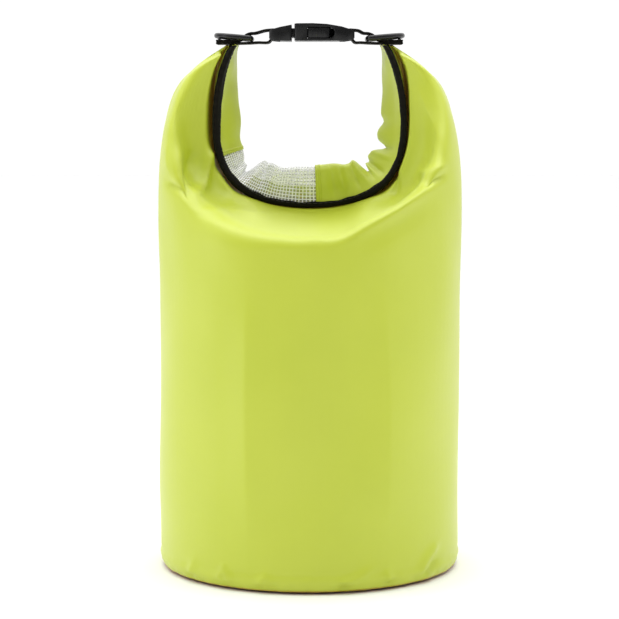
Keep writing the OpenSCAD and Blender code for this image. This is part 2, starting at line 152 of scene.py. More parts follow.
@dataclass(frozen=True)
class Mouth:
    """The line of the folded mouth and the fold that stands on it, in millimetres."""

    low: float = 226.0
    high: float = 328.8
    half: float = 61.0
    end_half: float = 48.5
    depth: float = 28.0
    turn_deg: float = 86.0
    side_from: float = 0.62
    side_z: float = 278.0
    half_n: float = 3.4
    pinches: tuple[Pinch, ...] = (
        # the left arm
        Pinch(-0.9, 0.1, 0.0, 2.8),
        Pinch(-0.62, 0.16, 0.0, 1.6),
        Pinch(-0.56, 0.05, 0.8, -0.6),
        Pinch(-0.41, 0.03, 1.2, -0.6),
        # the loop's bottom
        Pinch(-0.355, 0.022, 8.0, -1.4),
        Pinch(-0.3, 0.03, -1.6, 1.6),
        Pinch(-0.15, 0.07, 2.2, 0.4),
        Pinch(0.2, 0.05, 2.4, 0.4),
        Pinch(0.285, 0.022, -0.6, 1.2),
        Pinch(0.332, 0.017, 8.5, -1.2),
        # pleats that run down from the crease
        Pinch(-0.24, 0.022, 0.0, -1.6),
        Pinch(-0.19, 0.02, 0.0, 1.5),
        Pinch(-0.09, 0.022, 0.0, -0.6),
        Pinch(-0.04, 0.018, 0.0, 1.4),
        Pinch(0.105, 0.024, 0.0, -1.5),
        Pinch(0.155, 0.022, 0.0, 1.6),
        Pinch(0.235, 0.02, 0.0, -1.6),
        Pinch(0.39, 0.02, 0.0, -1.8),
        Pinch(0.48, 0.022, 0.0, 1.5),
        # the right arm
        Pinch(0.435, 0.05, -5.0, 1.0),
        Pinch(0.525, 0.02, 6.5, -1.0),
        Pinch(0.59, 0.03, -0.5, 0.8),
        Pinch(0.64, 0.022, 2.6, -0.6),
        Pinch(0.9, 0.1, 0.0, 2.8),
    )

    def line(self, s: Array) -> Array:
        """The bound edge's place, x and z, at s from -1 at the left end to 1 at the right.

        Args:
            s: places along the mouth.

        Returns:
            Their x and z, in millimetres.
        """
        a = np.abs(s)
        low = bezier(
            np.array([0.0, self.low]),
            np.array([36.0, self.low]),
            np.array([self.half, 240.0]),
            np.array([self.half, self.side_z]),
            (a / self.side_from)[..., None],
        )
        side = bezier(
            np.array([self.half, self.side_z]),
            np.array([self.half, self.side_z + 21.0]),
            np.array([self.half - 3.0, self.high - 13.0]),
            np.array([self.end_half, self.high]),
            ((a - self.side_from) / (1.0 - self.side_from))[..., None],
        )
        p = np.where((a < self.side_from)[..., None], low, side)
        return np.stack([np.sign(s) * p[..., 0], p[..., 1]], -1)

    def turn(self, s: Array) -> Array:
        """How far the fold is turned about its own length, in radians."""
        a = np.abs(s)
        share = 0.68 * smooth((a - 0.12) / 0.3) + 0.32 * smooth((a - 0.62) / 0.38)
        return math.radians(self.turn_deg) * share

    def inward(self, s: Array) -> Array:
        """The way towards the middle of the loop, in the X-Z plane."""
        t = unit(self.line(np.minimum(1.0, s + 0.01)) - self.line(np.maximum(-1.0, s - 0.01)))
        return vec(-t[..., 1], 0.0, t[..., 0])

    def across(self, s: Array) -> Array:
        """Across the fold, from the bound edge to the crease."""
        turn = self.turn(s)
        return self.inward(s) * np.cos(turn)[..., None] + vec(0.0, np.sin(turn), 0.0)

    def outward(self, s: Array) -> Array:
        """Out of the fold's front face."""
        turn = self.turn(s)
        return self.inward(s) * np.sin(turn)[..., None] - vec(0.0, np.cos(turn), 0.0)

    def place(self, s: Array, w: Array, n: Array) -> Array:
        """A point w across the fold and n out of its front face. The two ends are cut level.

        Args:
            s: places along the mouth.
            w: places across the fold.
            n: places out of its middle.

        Returns:
            The points.
        """
        s, w, n = np.broadcast_arrays(np.asarray(s, float), w, n)
        p = self.line(s)
        d = self.across(s) * w[..., None] + self.outward(s) * n[..., None]
        level = 1.0 - smooth((np.abs(s) - 0.8) / 0.2)
        lift = vec(d[..., 0], d[..., 1], d[..., 2] * level)
        return vec(p[..., 0], -self.depth / 2.0 * np.sin(self.turn(s)), p[..., 1]) + lift

    def puff(self, s: Array, w: Array) -> Array:
        """How much the fold stands open at the crease: full along the loop's bottom, flat at the two ends."""
        full = mix(1.3, 0.75, smooth((np.abs(s) - 0.8) / 0.2))
        return mix(1.0, full, smooth((w - 8.0) / 12.0))

    def gathered(self, s: Array, w: Array, n: Array) -> tuple[Array, Array]:
        """Moves a point of the fold's section as the pinches and the cloth's own ripples have it.

        Args:
            s: places along the mouth.
            w: places across the fold.
            n: places out of the fold's middle.

        Returns:
            The new w and n.
        """
        high = smooth((w - 5.0) / (self.depth - 5.0))
        off_edge = smooth((w - 1.5) / 13.0)
        dip = np.zeros_like(s * w)
        push = np.zeros_like(dip)
        squeeze = np.zeros_like(dip)
        for pinch in self.pinches:
            # a pinch narrows to a point as it nears the bound edge
            hill = bump(s, pinch.at, pinch.width * mix(0.45, 1.0, high))
            dip = dip + pinch.dip * hill
            push = push + pinch.push * hill
            squeeze = squeeze + 0.5 * np.clip(pinch.dip / 6.0, 0.0, 1.0) * hill
        inner = 1.0 - smooth((np.abs(s) - 0.72) / 0.2)
        ripple = inner * (0.35 * np.sin(s * 23.0 + 0.8) + 0.2 * np.sin(s * 41.0 + w * 0.12))
        grown = n * self.puff(s, w) * (1.0 - np.clip(squeeze, 0.0, 0.7) * high)
        return w - dip * high, grown + (push + ripple) * off_edge


# ------------------------------------------------------------------------------------------------- the wall


@dataclass(frozen=True)
class Crease:
    """A fold line or a dimple pressed into the bag's wall.

    Attributes:
        points: places seen from the front or the back, x and z in millimetres.
        height: how far it stands out. Less than 0 is a groove.
        width: the distance at which it has died away.
        back: whether it lies in the back half of the bag.
        sharp: whether its top is a crisp line. A soft one is rounded.
    """

    points: tuple[tuple[float, float], ...]
    height: float
    width: float
    back: bool = False
    sharp: bool = True

    def raise_by(self, p: Array) -> Array:
        """How far each point of the wall is moved out along the wall's normal.

        Args:
            p: the wall's points, in millimetres.

        Returns:
            The heights.
        """
        flat = p[..., (0, 2)]
        best = np.full(flat.shape[:-1], 1e9)
        along = np.zeros_like(best)
        spans = len(self.points) - 1
        for i in range(spans):
            a, b = np.array(self.points[i]), np.array(self.points[i + 1])
            t = np.clip(((flat - a) @ (b - a)) / ((b - a) @ (b - a)), 0.0, 1.0)
            gap = np.linalg.norm(flat - (a + t[..., None] * (b - a)), axis=-1)
            along = np.where(gap < best, (i + t) / spans, along)
            best = np.minimum(best, gap)
        near = np.clip(1.0 - best / self.width, 0.0, 1.0)
        shape = near**1.6 if self.sharp else near * near * (3.0 - 2.0 * near)
        ends = smooth(along / 0.3) * smooth((1.0 - along) / 0.3) if spans > 1 or self.sharp else 1.0
        half = smooth((p[..., 1] if self.back else -p[..., 1]) / 14.0)
        return self.height * shape * (0.15 + 0.85 * ends) * half


def front_creases() -> tuple[Crease, ...]:
    """The creases, dents and flats of the bag's front."""
    return (
        # the edge of the shelf below the loop: a crisp crease on the right and a soft one on the left
        Crease(((18, 216), (33, 222), (55, 233), (82, 247)), 0.8, 6.0),
        Crease(((26, 209), (54, 222), (82, 239)), -1.3, 10.0, sharp=False),
        # the shelf's own creases
        Crease(((-72, 229), (-40, 226), (-12, 224)), 0.9, 4.0),
        Crease(((-20, 216), (4, 213), (24, 218)), -0.8, 7.0, sharp=False),
        # the left shoulder's edge runs down over the shelf and ends in a dent at the side
        Crease(((-61, 268), (-64, 250), (-68, 235)), 4.2, 5.5),
        Crease(((-72, 266), (-74, 250), (-72, 236)), -4.0, 8.0),
        Crease(((-58, 256), (-54, 243), (-44, 228)), 1.2, 5.0),
        Crease(((-90, 246), (-80, 242), (-70, 235)), -2.6, 5.5),
        Crease(((-87, 272), (-86, 258), (-84, 248)), 1.6, 6.0),
        Crease(((-82, 300), (-80, 276), (-84, 256)), -1.5, 11.0, sharp=False),
        # the right shoulder is smoother, with one pinch at the side
        Crease(((55, 252), (54, 242), (52, 232)), -1.8, 4.0),
        Crease(((68, 243), (76, 247), (84, 250)), -2.4, 4.5),
        Crease(((66, 248), (75, 252), (84, 256)), 1.8, 5.5),
        Crease(((66, 306), (76, 282), (84, 262)), 1.2, 12.0),
        # the filled wall stands in three broad flats
        Crease(((-37, 190), (-38, 120), (-37, 14)), 2.0, 15.0),
        Crease(((44, 200), (48, 120), (46, 14)), 1.2, 18.0),
        Crease(((-4, 186), (-2, 100), (0, 24)), -1.0, 30.0, sharp=False),
        # tucks where the wall is gathered on to the base
        Crease(((-74, 1), (-70, 17)), 1.6, 5.0),
        Crease(((-57, 3), (-52, 13), (-46, 4)), 1.8, 4.0),
        Crease(((-33, 3), (-27, 11), (-21, 4)), 1.6, 4.0),
        Crease(((16, 3), (26, 9), (40, 15)), 2.0, 5.0),
        Crease(((50, 4), (45, 13)), 1.7, 4.5),
        Crease(((66, 6), (73, 17), (80, 24)), 2.2, 5.0),
        Crease(((70, 3), (80, 14)), -2.0, 5.0),
    )


def back_creases() -> tuple[Crease, ...]:
    """The creases, dents and flats of the bag's back."""
    return (
        Crease(((-4, 206), (34, 213), (66, 228), (90, 240)), 1.6, 10.0, back=True),
        Crease(((2, 206), (-32, 214), (-64, 226), (-90, 243)), 1.7, 10.0, back=True),
        Crease(((-30, 222), (2, 217), (32, 221)), -1.5, 10.0, back=True, sharp=False),
        Crease(((-56, 244), (-66, 234), (-82, 216)), -1.6, 9.0, back=True),
        Crease(((-60, 262), (-74, 254), (-90, 256)), 1.5, 9.0, back=True),
        Crease(((56, 246), (68, 240), (88, 226)), -1.5, 9.0, back=True),
        Crease(((60, 268), (73, 262), (88, 264)), 1.4, 9.0, back=True),
        Crease(((58, 250), (50, 236), (48, 218)), 1.2, 7.0, back=True),
        Crease(((-54, 250), (-47, 236), (-44, 220)), 1.1, 7.0, back=True),
        Crease(((-64, 306), (-74, 284), (-78, 258)), 1.3, 11.0, back=True),
        Crease(((66, 308), (76, 286), (80, 262)), 1.3, 11.0, back=True),
        Crease(((40, 200), (42, 110), (40, 14)), 1.1, 20.0, back=True, sharp=False),
        Crease(((-44, 198), (-46, 110), (-44, 14)), 1.3, 18.0, back=True, sharp=False),
        Crease(((-62, 1), (-59, 15)), 1.3, 5.5, back=True),
        Crease(((-24, 2), (-22, 13)), -1.2, 5.0, back=True),
        Crease(((12, 2), (15, 16)), 1.2, 6.0, back=True),
        Crease(((52, 2), (50, 14)), 1.3, 5.5, back=True),
        Crease(((78, 2), (80, 16)), -1.1, 5.0, back=True),
    )


@dataclass(frozen=True)
class Wall:
    """The filled bag's wall, in millimetres.

    u runs once round it, from the left by the front. v runs from 0 at the floor to 1 at the fold.
    """

    width: float
    depth: float
    mouth: Mouth = Mouth()
    back_z: float = 184.0
    side_z: float = 234.0
    share: float = 0.4
    weld_z: float = 11.5
    foot_r: float = 6.0
    # the corner over to the shelf below the loop: its height, where it starts to climb, the share of the way
    # that it takes up, and the reach of the shelf's handle
    ridge_low_z: float = 215.0
    ridge_bend_x: float = 20.0
    corner_share: float = 0.3
    shelf_reach: float = 24.0
    # the crest beside the bound edge: places along the mouth, and how far across and out of the fold it lies
    crest_t: float = 0.84
    crest_w: tuple[tuple[float, ...], ...] = (
        (-1.0, -0.5, -0.3, 0.3, 0.5, 1.0),
        (-3.5, -4.0, -4.0, -4.0, -4.0, -3.5),
    )
    crest_n: tuple[tuple[float, ...], ...] = (
        (-1.0, -0.85, -0.5, -0.3, 0.3, 0.5, 0.7, 0.85, 1.0),
        (-2.0, -2.4, -2.6, -1.0, 1.0, 1.0, -0.6, -3.6, -4.4),
    )
    creases: tuple[Crease, ...] = field(default_factory=lambda: front_creases() + back_creases())

    def mouth_s(self, u: Array) -> Array:
        """The place along the mouth that a place round the wall runs up to."""
        c = u - np.floor(u)
        return np.where(c < 0.5, -1.0 + 4.0 * c, 3.0 - 4.0 * c)

    def in_front(self, u: Array) -> Array:
        """Whether a place round the wall is in the front panel."""
        return (u - np.floor(u)) < 0.5

    def round_at(self, u: Array, z: Array, inset: Array = 0.0) -> Array:
        """A point of the straight tube."""
        a = math.pi * (1.0 + 2.0 * u)
        return vec((self.width / 2.0 - inset) * np.cos(a), (self.depth / 2.0 - inset) * np.sin(a), z)

    def top(self, u: Array) -> Array:
        """The height at which the straight tube ends.

        Args:
            u: places round the wall.

        Returns:
            The heights.
        """
        c = np.abs(np.cos(math.pi * (1.0 + 2.0 * u))) ** 1.4
        x = self.round_at(u, 0.0 * u)[..., 0]
        plain = mix(self.back_z, self.side_z, smooth(c))
        return mix(plain, self.ridge_z(x) - self.corner_h(x), self.crisp(u))

    def crisp(self, u: Array) -> Array:
        """How sharply the front breaks over to the shelf below the loop: 1 in the middle, 0 at the sides."""
        return self.in_front(u) * (1.0 - smooth((np.abs(self.mouth_s(u)) - 0.45) / 0.35))

    def ridge_z(self, x: Array) -> Array:
        """The height of the corner that the front breaks over, which climbs faster on the right."""
        right = x - self.ridge_bend_x
        return self.ridge_low_z + 0.0018 * np.minimum(x, 0.0) ** 2 + 0.25 * (right + np.hypot(right, 5.0))

    def corner_h(self, x: Array) -> Array:
        """How far below its corner the front starts to turn: the left is softer."""
        return mix(14.0, 6.0, smooth((x + 60.0) / 70.0))

    def over_ridge(self, low: Array, end: Array, way: Array, t: Array) -> Array:
        """Runs up from the straight tube, round the corner and along the shelf.

        Args:
            low: the end of the straight tube.
            end: where the shelf ends.
            way: the way that the shelf runs as it ends.
            t: the place between the two, from 0 to 1.

        Returns:
            The point.
        """
        cut = self.corner_share
        h = self.corner_h(low[..., 0])
        ridge = low + vec(0.0, 0.0, 1.0) * h[..., None]
        brow = mix(ridge, end, 0.015 * h[..., None])
        turned = np.clip(t / cut, 0.0, 1.0)[..., None]
        corner = bezier(low, mix(low, ridge, 0.75), mix(brow, ridge, 0.75), brow, turned)
        along = np.clip((t - cut) / (1.0 - cut), 0.0, 1.0)[..., None]
        shelf = bezier(brow, mix(brow, end, 0.35), end - way * self.shelf_reach, end, along)
        return np.where((t < cut)[..., None], corner, shelf)

    def seam(self, u: Array) -> tuple[Array, Array]:
        """Where the panel meets the fold: across it and out of its middle.

        Args:
            u: places round the wall.

        Returns:
            The places across the fold and those out of its middle.
        """
        s = np.abs(self.mouth_s(u))
        side, clear = smooth((s - 0.15) / 0.35), smooth((s - 0.13) / 0.12)
        front = self.in_front(u)
        w = np.where(front, mix(1.9, 9.0, side), mix(-0.6, 8.0, side))
        n = np.where(front, mix(-0.6, -3.7, clear), mix(-3.1, -3.6, clear))
        tip = smooth((s - 0.9) / 0.1)
        return mix(w, 3.4, tip), mix(n, -3.6, tip)

    def seam_way(self, u: Array) -> Array:
        """The way that the panel runs as it reaches the fold.

        Args:
            u: places round the wall.

        Returns:
            The ways, of length 1.
        """
        s = self.mouth_s(u)
        a = np.abs(s)
        side, tip = smooth((a - 0.15) / 0.35)[..., None], smooth((a - 0.8) / 0.2)[..., None]
        across, outward = self.mouth.across(s), self.mouth.outward(s)
        front = across * mix(0.3, 0.85, side) + outward * mix(-0.95, 0.45, side)
        back = mix(across * 0.85 + outward * 0.5, outward * 0.9 + np.array([0.0, -0.35, 0.2]), side)
        corner = vec(-0.84 * np.sign(s), 0.0, 0.54)
        return unit(mix(unit(np.where(self.in_front(u)[..., None], front, back)), corner, tip))

    def shoulder(self, u: Array, t: Array) -> Array:
        """A point between the straight tube and the fold.

        Args:
            u: places round the wall.
            t: places between the straight tube and the fold, from 0 to 1.

        Returns:
            The points.
        """
        s = np.abs(self.mouth_s(u))
        low = self.round_at(u, self.top(u))
        w, n = self.seam(u)
        high = self.mouth.place(self.mouth_s(u), w, n)
        rise = mix(36.0, 72.0, smooth(s))
        reach = mix(np.where(self.in_front(u), 40.0, 26.0), 27.0, smooth(s * 1.3))
        first = low + vec(0.0, 0.0, 1.0) * rise[..., None]
        plain = bezier(low, first, high - self.seam_way(u) * reach[..., None], high, t[..., None])
        plain = mix(plain, self.over_ridge(low, high, self.seam_way(u), t), self.crisp(u)[..., None])
        crested = self.crested(u, t, low, first, high)
        share = smooth((s - 0.2) / 0.25) * (1.0 - smooth((s - 0.93) / 0.07)) * self.in_front(u)
        return mix(plain, crested, share[..., None])

    def crested(self, u: Array, t: Array, low: Array, first: Array, high: Array) -> Array:
        """A point of the front shoulder: it folds back in a tight crest and runs deep behind the bound edge.

        Args:
            u: the place round the wall.
            t: the place between the straight tube and the fold, from 0 to 1.
            low: the end of the straight tube.
            first: the handle above it.
            high: the seam behind the bound edge.

        Returns:
            The point.
        """
        s = self.mouth_s(u)
        mouth = self.mouth
        crest = mouth.place(s, np.interp(s, *self.crest_w), np.interp(s, *self.crest_n))
        way = unit(mouth.inward(s) * 0.9 + vec(0.0, 0.35, 0.85 * smooth((np.abs(s) - 0.5) / 0.4)))
        reach = mix(22.0, 20.0, smooth((np.abs(s) - 0.6) / 0.3))[..., None]
        before = np.clip(t / self.crest_t, 0.0, 1.0)
        over = bezier(low, first, crest - way * reach, crest, before[..., None])
        over = mix(over, self.over_ridge(low, crest, way, before), self.crisp(u)[..., None])
        behind = np.clip((t - self.crest_t) / (1.0 - self.crest_t), 0.0, 1.0)[..., None]
        back = bezier(crest, crest + way * 2.4, high - mouth.across(s) * 8.0, high, behind)
        return np.where((t < self.crest_t)[..., None], over, back)

    def plain(self, u: Array, v: Array) -> Array:
        """A point of the wall before it is creased.

        Args:
            u: places round the wall.
            v: places up the wall, from 0 to 1.

        Returns:
            The points.
        """
        z = self.top(u) * np.clip(v / self.share, 0.0, 1.0)
        # the wall turns in under itself where it is welded to the base
        turn = np.clip(1.0 - z / self.foot_r, 0.0, 1.0)
        inset = self.foot_r * (1.0 - np.sqrt(np.maximum(1.0 - turn**2, 0.0)))
        tube = self.round_at(u, np.maximum(z, 0.35), inset)
        raised = self.shoulder(u, np.clip((v - self.share) / (1.0 - self.share), 0.0, 1.0))
        return np.where((v < self.share)[..., None], tube, raised)

    def normal(self, u: Array, v: Array) -> Array:
        """The way out of the wall before it is creased.

        Args:
            u: places round the wall.
            v: places up the wall, from 0 to 1.

        Returns:
            The ways, of length 1.
        """
        round_way = self.plain(u + 0.003, v) - self.plain(u - 0.003, v)
        up_way = self.plain(u, np.minimum(1.0, v + 0.008)) - self.plain(u, np.maximum(0.02, v - 0.008))
        return unit(np.cross(round_way, up_way))

    def relief(self, u: Array, p: Array) -> Array:
        """How far the wall stands out of its plain shape, from the weld, the creases and the slack.

        Args:
            u: places round the wall.
            p: the wall's points there.

        Returns:
            The distances, in millimetres.
        """
        z = p[..., 2]
        rise = -0.45 * bump(z, self.weld_z, 1.3) + 0.35 * (1.0 - smooth((z - self.weld_z + 1.0) / 2.0))
        for crease in self.creases:
            rise = rise + crease.raise_by(p)
        angle = 2.0 * math.pi * u
        slack = 0.7 * np.sin(3.0 * angle + z * 0.021 + 0.6) + 0.5 * np.sin(7.0 * angle - z * 0.034 + 1.9)
        slack = slack + 0.35 * np.sin(13.0 * angle + z * 0.06) * bump(z, 214.0, 34.0)
        hem = 0.28 * np.sin(41.0 * angle + 0.7) * np.sin(17.0 * angle) * bump(z, 3.0, 6.0)
        return rise + slack * smooth((z - 14.0) / 60.0) * (1.0 - smooth((z - 236.0) / 60.0)) + hem

    def surface(self, u: Array, v: Array) -> Array:
        """A point of the creased wall.

        Args:
            u: places round the wall.
            v: places up the wall, from 0 to 1.

        Returns:
            The points.
        """
        p = self.plain(u, v)
        fixed = 1.0 - smooth((v - 0.93) / 0.07)
        return p + self.normal(u, v) * (self.relief(u, p) * fixed)[..., None]


# ---------------------------------------------------------------------------------------------- mesh makers


def grid_piece(
    name: str, columns: int, rows: int, shape: Callable[[Array, Array], Array], flip: bool = False
) -> bmesh.types.BMesh:
    """Makes a sheet of quads, bent to a shape, with a UV map in metres along its own surface.

    Args:
        name: what the sheet is, for the log.
        columns: quads from side to side.
        rows: quads from end to end.
        shape: gives points in millimetres for a in 0 to 1, side to side, and b in 0 to 1, end to end.
        flip: whether the sheet's faces are turned over.

    Returns:
        The sheet, which the caller frees.
    """
    bm = bmesh.new()
    bmesh.ops.create_grid(bm, x_segments=columns, y_segments=rows, size=0.5, calc_uvs=True)
    bm.verts.ensure_lookup_table()
    flat = np.array([v.co for v in bm.verts])
    a, b = np.clip(flat[:, 0] + 0.5, 0.0, 1.0), np.clip(flat[:, 1] + 0.5, 0.0, 1.0)
    points = shape(a, b)
    # lengths along the middle column and the middle row give the cloth its own measure
    line = np.linspace(0.0, 1.0, 201)
    across = shape(line, np.full_like(line, 0.3))
    along = shape(np.full_like(line, 0.5), line)
    measure = [run_along(q) * MM for q in (across, along)]
    u, v = np.interp(a, line, measure[0]), np.interp(b, line, measure[1])
    for vert, point in zip(bm.verts, points * MM):
        vert.co = point
    layer = bm.loops.layers.uv.verify()
    for face in bm.faces:
        for loop in face.loops:
            loop[layer].uv = (u[loop.vert.index], v[loop.vert.index])
    if flip:
        bmesh.ops.reverse_faces(bm, faces=bm.faces)
    LOG.debug("%s: %d quads", name, len(bm.faces))
    return bm


def join(bm: bmesh.types.BMesh, part: bmesh.types.BMesh) -> None:
    """Adds a part to a bmesh and frees the part.

    Args:
        bm: the bmesh.
        part: the part.
    """
    bridge = bpy.data.meshes.new("bridge")
    part.to_mesh(bridge)
    part.free()
    bm.from_mesh(bridge)
    bpy.data.meshes.remove(bridge)


def finished(bm: bmesh.types.BMesh, name: str, weld: float = 0.0) -> bpy.types.Object:
    """Turns a bmesh into a smooth-shaded object at the origin.

    Args:
        bm: the mesh, which is freed.
        name: the piece's name.
        weld: the distance, in metres, at which doubles are merged. 0 leaves them.

    Returns:
        The object, linked to the scene.
    """
    if weld:
        bmesh.ops.remove_doubles(bm, verts=bm.verts, dist=weld)
    for face in bm.faces:
        face.smooth = True
    mesh = bpy.data.meshes.new(name)
    bm.to_mesh(mesh)
    bm.free()
    piece = bpy.data.objects.new(name, mesh)
    bpy.context.scene.collection.objects.link(piece)
    return piece


def thicken(piece: bpy.types.Object, thickness: float, offset: float = -1.0) -> None:
    """Gives a sheet its thickness, in metres. An offset of -1 grows it inwards.

    Args:
        piece: the sheet.
        thickness: its thickness.
        offset: which way it grows: 1 is outwards and 0 is both ways.
    """
    mod = piece.modifiers.new("thickness", "SOLIDIFY")
    mod.thickness = thickness
    mod.offset = offset
    mod.use_quality_normals = True


def soften_edges(piece: bpy.types.Object, width: float, angle: float = 32.0) -> None:
    """Rounds the sharp edges of a moulded piece. The width is in metres and the angle in degrees.

    Args:
        piece: the piece.
        width: the width of the rounding.
        angle: how sharp an edge must be to be rounded.
    """
    mod = piece.modifiers.new("moulded_edges", "BEVEL")
    mod.width = width
    mod.segments = 3
    mod.limit_method = "ANGLE"
    mod.angle_limit = math.radians(angle)
    mod.harden_normals = True
    mod.use_clamp_overlap = True


# ------------------------------------------------------------------------------------------------- finishes


@dataclass(frozen=True)
class NodeBench:
    """Makes the nodes of one material or world, each handed on as the socket that the next one takes."""

    tree: bpy.types.NodeTree

    def plug(self, made: bpy.types.Node, inputs: dict) -> None:
        """Fills a node's inputs.

        Args:
            made: the node.
            inputs: by socket name or number, either a value or the output socket to link from.
        """
        for name, value in inputs.items():
            if isinstance(value, Socket):
                self.tree.links.new(value, made.inputs[name])
            else:
                made.inputs[name].default_value = value

    def make(self, kind: str, settings: dict | None = None, inputs: dict | None = None) -> bpy.types.Node:
        """Adds a node with its settings and links.

        Args:
            kind: the node's type.
            settings: the node's properties, by name.
            inputs: what goes into it, as plug takes it.

        Returns:
            The node.
        """
        made = self.tree.nodes.new(kind)
        for name, value in (settings or {}).items():
            setattr(made, name, value)
        self.plug(made, inputs or {})
        return made

    def uv(self) -> Socket:
        """The place along the surface, in metres."""
        return self.make("ShaderNodeUVMap").outputs["UV"]

    def place(self) -> Socket:
        """The place in space, in metres."""
        return self.make("ShaderNodeTexCoord").outputs["Object"]

    def noise(self, at: Socket, scale: float, detail: float) -> Socket:
        """Smooth noise over a place."""
        inputs = {"Vector": at, "Scale": scale, "Detail": detail}
        return self.make("ShaderNodeTexNoise", {}, inputs).outputs["Fac"]

    def threads(self, uv: Socket, axis: str, pitch: float) -> Socket:
        """A woven sheet's rises and falls along one axis.

        Args:
            uv: the place along the surface.
            axis: "X" or "Y".
            pitch: the distance over which the wave turns by a radian, in metres. A rise and a fall together
                take 2 pi times as long.

        Returns:
            The height, from 0 to 1.
        """
        settings = {"wave_type": "BANDS", "bands_direction": axis, "wave_profile": "SIN"}
        inputs = {"Vector": uv, "Scale": 1.0 / (pitch * WAVE_TURN), "Distortion": 0.0}
        return self.make("ShaderNodeTexWave", settings, inputs).outputs["Fac"]

    def maths(self, operation: str, *terms: Socket | float) -> Socket:
        """One step of arithmetic on sockets and numbers."""
        return self.make("ShaderNodeMath", {"operation": operation}, dict(enumerate(terms))).outputs[0]

    def spread(self, value: Socket, given: tuple, wanted: tuple = (0.0, 1.0), eased: bool = False) -> Socket:
        """Stretches a range of values over another.

        Args:
            value: the value.
            given: the range that it comes in.
            wanted: the range that it goes out in.
            eased: whether it leaves one end and reaches the other softly.

        Returns:
            The new value, held within the wanted range.
        """
        settings = {"interpolation_type": "SMOOTHSTEP" if eased else "LINEAR"}
        return self.make("ShaderNodeMapRange", settings, dict(enumerate((value, *given, *wanted)))).outputs[0]

    def dye(self, share: Socket, first: Colour | Socket, second: Colour | Socket) -> Socket:
        """Goes from the first colour to the second as share goes from 0 to 1."""
        return self.make("ShaderNodeMix", {"data_type": "RGBA"}, {0: share, 6: first, 7: second}).outputs[2]

    def relief(self, height: Socket, strength: float, distance: float, under: Socket | None = None) -> Socket:
        """Tilts the surface as a height has it.

        Args:
            height: the height.
            strength: how much of it shows.
            distance: what a height of 1 stands for, in metres.
            under: a relief that this one lies on.

        Returns:
            The surface's normal.
        """
        inputs = {"Strength": strength, "Distance": distance, "Height": height}
        if under is not None:
            inputs["Normal"] = under
        return self.make("ShaderNodeBump", {}, inputs).outputs[0]


def new_material(name: str) -> tuple[bpy.types.Material, NodeBench, bpy.types.Node]:
    """A material with a Principled shader.

    Args:
        name: the material's name.

    Returns:
        The material, a bench for its nodes and the shader.
    """
    material = bpy.data.materials.new(name)
    material.use_nodes = True
    return material, NodeBench(material.node_tree), material.node_tree.nodes["Principled BSDF"]


@dataclass(frozen=True)
class CoatedFabric:
    """PVC-coated polyester, calendered smooth and dyed fluorescent yellow-green.

    The coating gives a soft, broad shine, and the cloth under it shows as a faint plain weave. Its crevices
    are darkened to orange-brown by painted shade in the base colour.
    """

    name: str = "pvc_coated_polyester"
    colour: str = "#C7D338"
    shade: str = "#BDCB2A"
    # painted shade: the dark orange-brown that crevices are painted with
    crevice_shade_colour: str = "#B8741A"
    crevice: float = 11.0 * MM
    roughness: float = 0.46
    thread: float = 0.9 * MM

    def build(self) -> bpy.types.Material:
        """Makes the material."""
        material, bench, shader = new_material(self.name)
        uv, place = bench.uv(), bench.place()
        # the dye lies a little unevenly, over a hand's breadth
        tint = bench.dye(bench.noise(place, 14.0, 3.0), linear(self.colour), linear(self.shade))
        # painted shade: where ambient occlusion finds nearby surfaces, the base colour is mixed towards a
        # dark orange-brown, so crevices are darkened in the colour itself
        openness = bench.make("ShaderNodeAmbientOcclusion", {"samples": 8}, {"Distance": self.crevice})
        unshaded_share = bench.spread(openness.outputs["AO"], (0.06, 0.36))
        # the weave shows as low waves both ways, each 2 pi times as long as a thread is wide
        height = bench.maths("MULTIPLY", *[bench.threads(uv, axis, self.thread) for axis in ("X", "Y")])
        weave = bench.relief(height, 0.14, 0.00025)
        # the coating's own orange peel, and scuffs that dull it in places
        skin = bench.relief(bench.noise(place, 420.0, 2.0), 0.12, 0.0004, weave)
        scuff = bench.noise(place, 38.0, 5.0)
        dull = bench.spread(scuff, (0.0, 1.0), (self.roughness - 0.05, self.roughness + 0.07))
        # painted shade: the base colour goes from the crevice shade colour to the dye as the surface opens
        # out
        look = {"Base Color": bench.dye(unshaded_share, linear(self.crevice_shade_colour), tint), "Normal": skin, "Roughness": dull}
        coat = {"IOR": 1.45, "Coat Weight": 0.75, "Coat Roughness": 0.5}
        sheen = {"Sheen Weight": 0.05, "Sheen Roughness": 0.5, "Sheen Tint": linear("#F4FF9A")}
        bench.plug(shader, look | coat | sheen)
        return material


@dataclass(frozen=True)
class ReinforcedVinyl:
    """Clear PVC sheet, laminated over a white polyester scrim.

    The film is glossy and slightly milky, and the scrim shows as a fine white net.
    """

    name: str = "scrim_reinforced_clear_pvc"
    pitch: float = 2.1 * MM
    thread: float = 0.26

    def build(self) -> bpy.types.Material:
        """Makes the material."""
        material, bench, shader = new_material(self.name)
        uv = bench.uv()
        split = bench.make("ShaderNodeSeparateXYZ", {}, {0: uv})
        width = (self.thread * 0.35, self.thread * 0.75)
        lines = []
        for axis in ("X", "Y"):
            there = bench.maths("PINGPONG", bench.maths("DIVIDE", split.outputs[axis], self.pitch), 0.5)
            lines.append(bench.spread(there, width, (1.0, 0.0), eased=True))
        net = bench.maths("MAXIMUM", *lines)
        film = bench.spread(bench.noise(uv, 90.0, 3.0), (0.35, 0.75), (0.14, 0.4))
        look = {
            "Alpha": bench.spread(net, (0.0, 1.0), (film, 1.0)),
            "Base Color": bench.dye(net, linear("#EDF0E6"), linear("#FFFFFF")),
            "Normal": bench.relief(net, 0.5, 0.0002),
        }
        gloss = {"Roughness": 0.13, "IOR": 1.53, "Coat Weight": 0.6, "Coat Roughness": 0.08}
        bench.plug(shader, look | gloss)
        return material


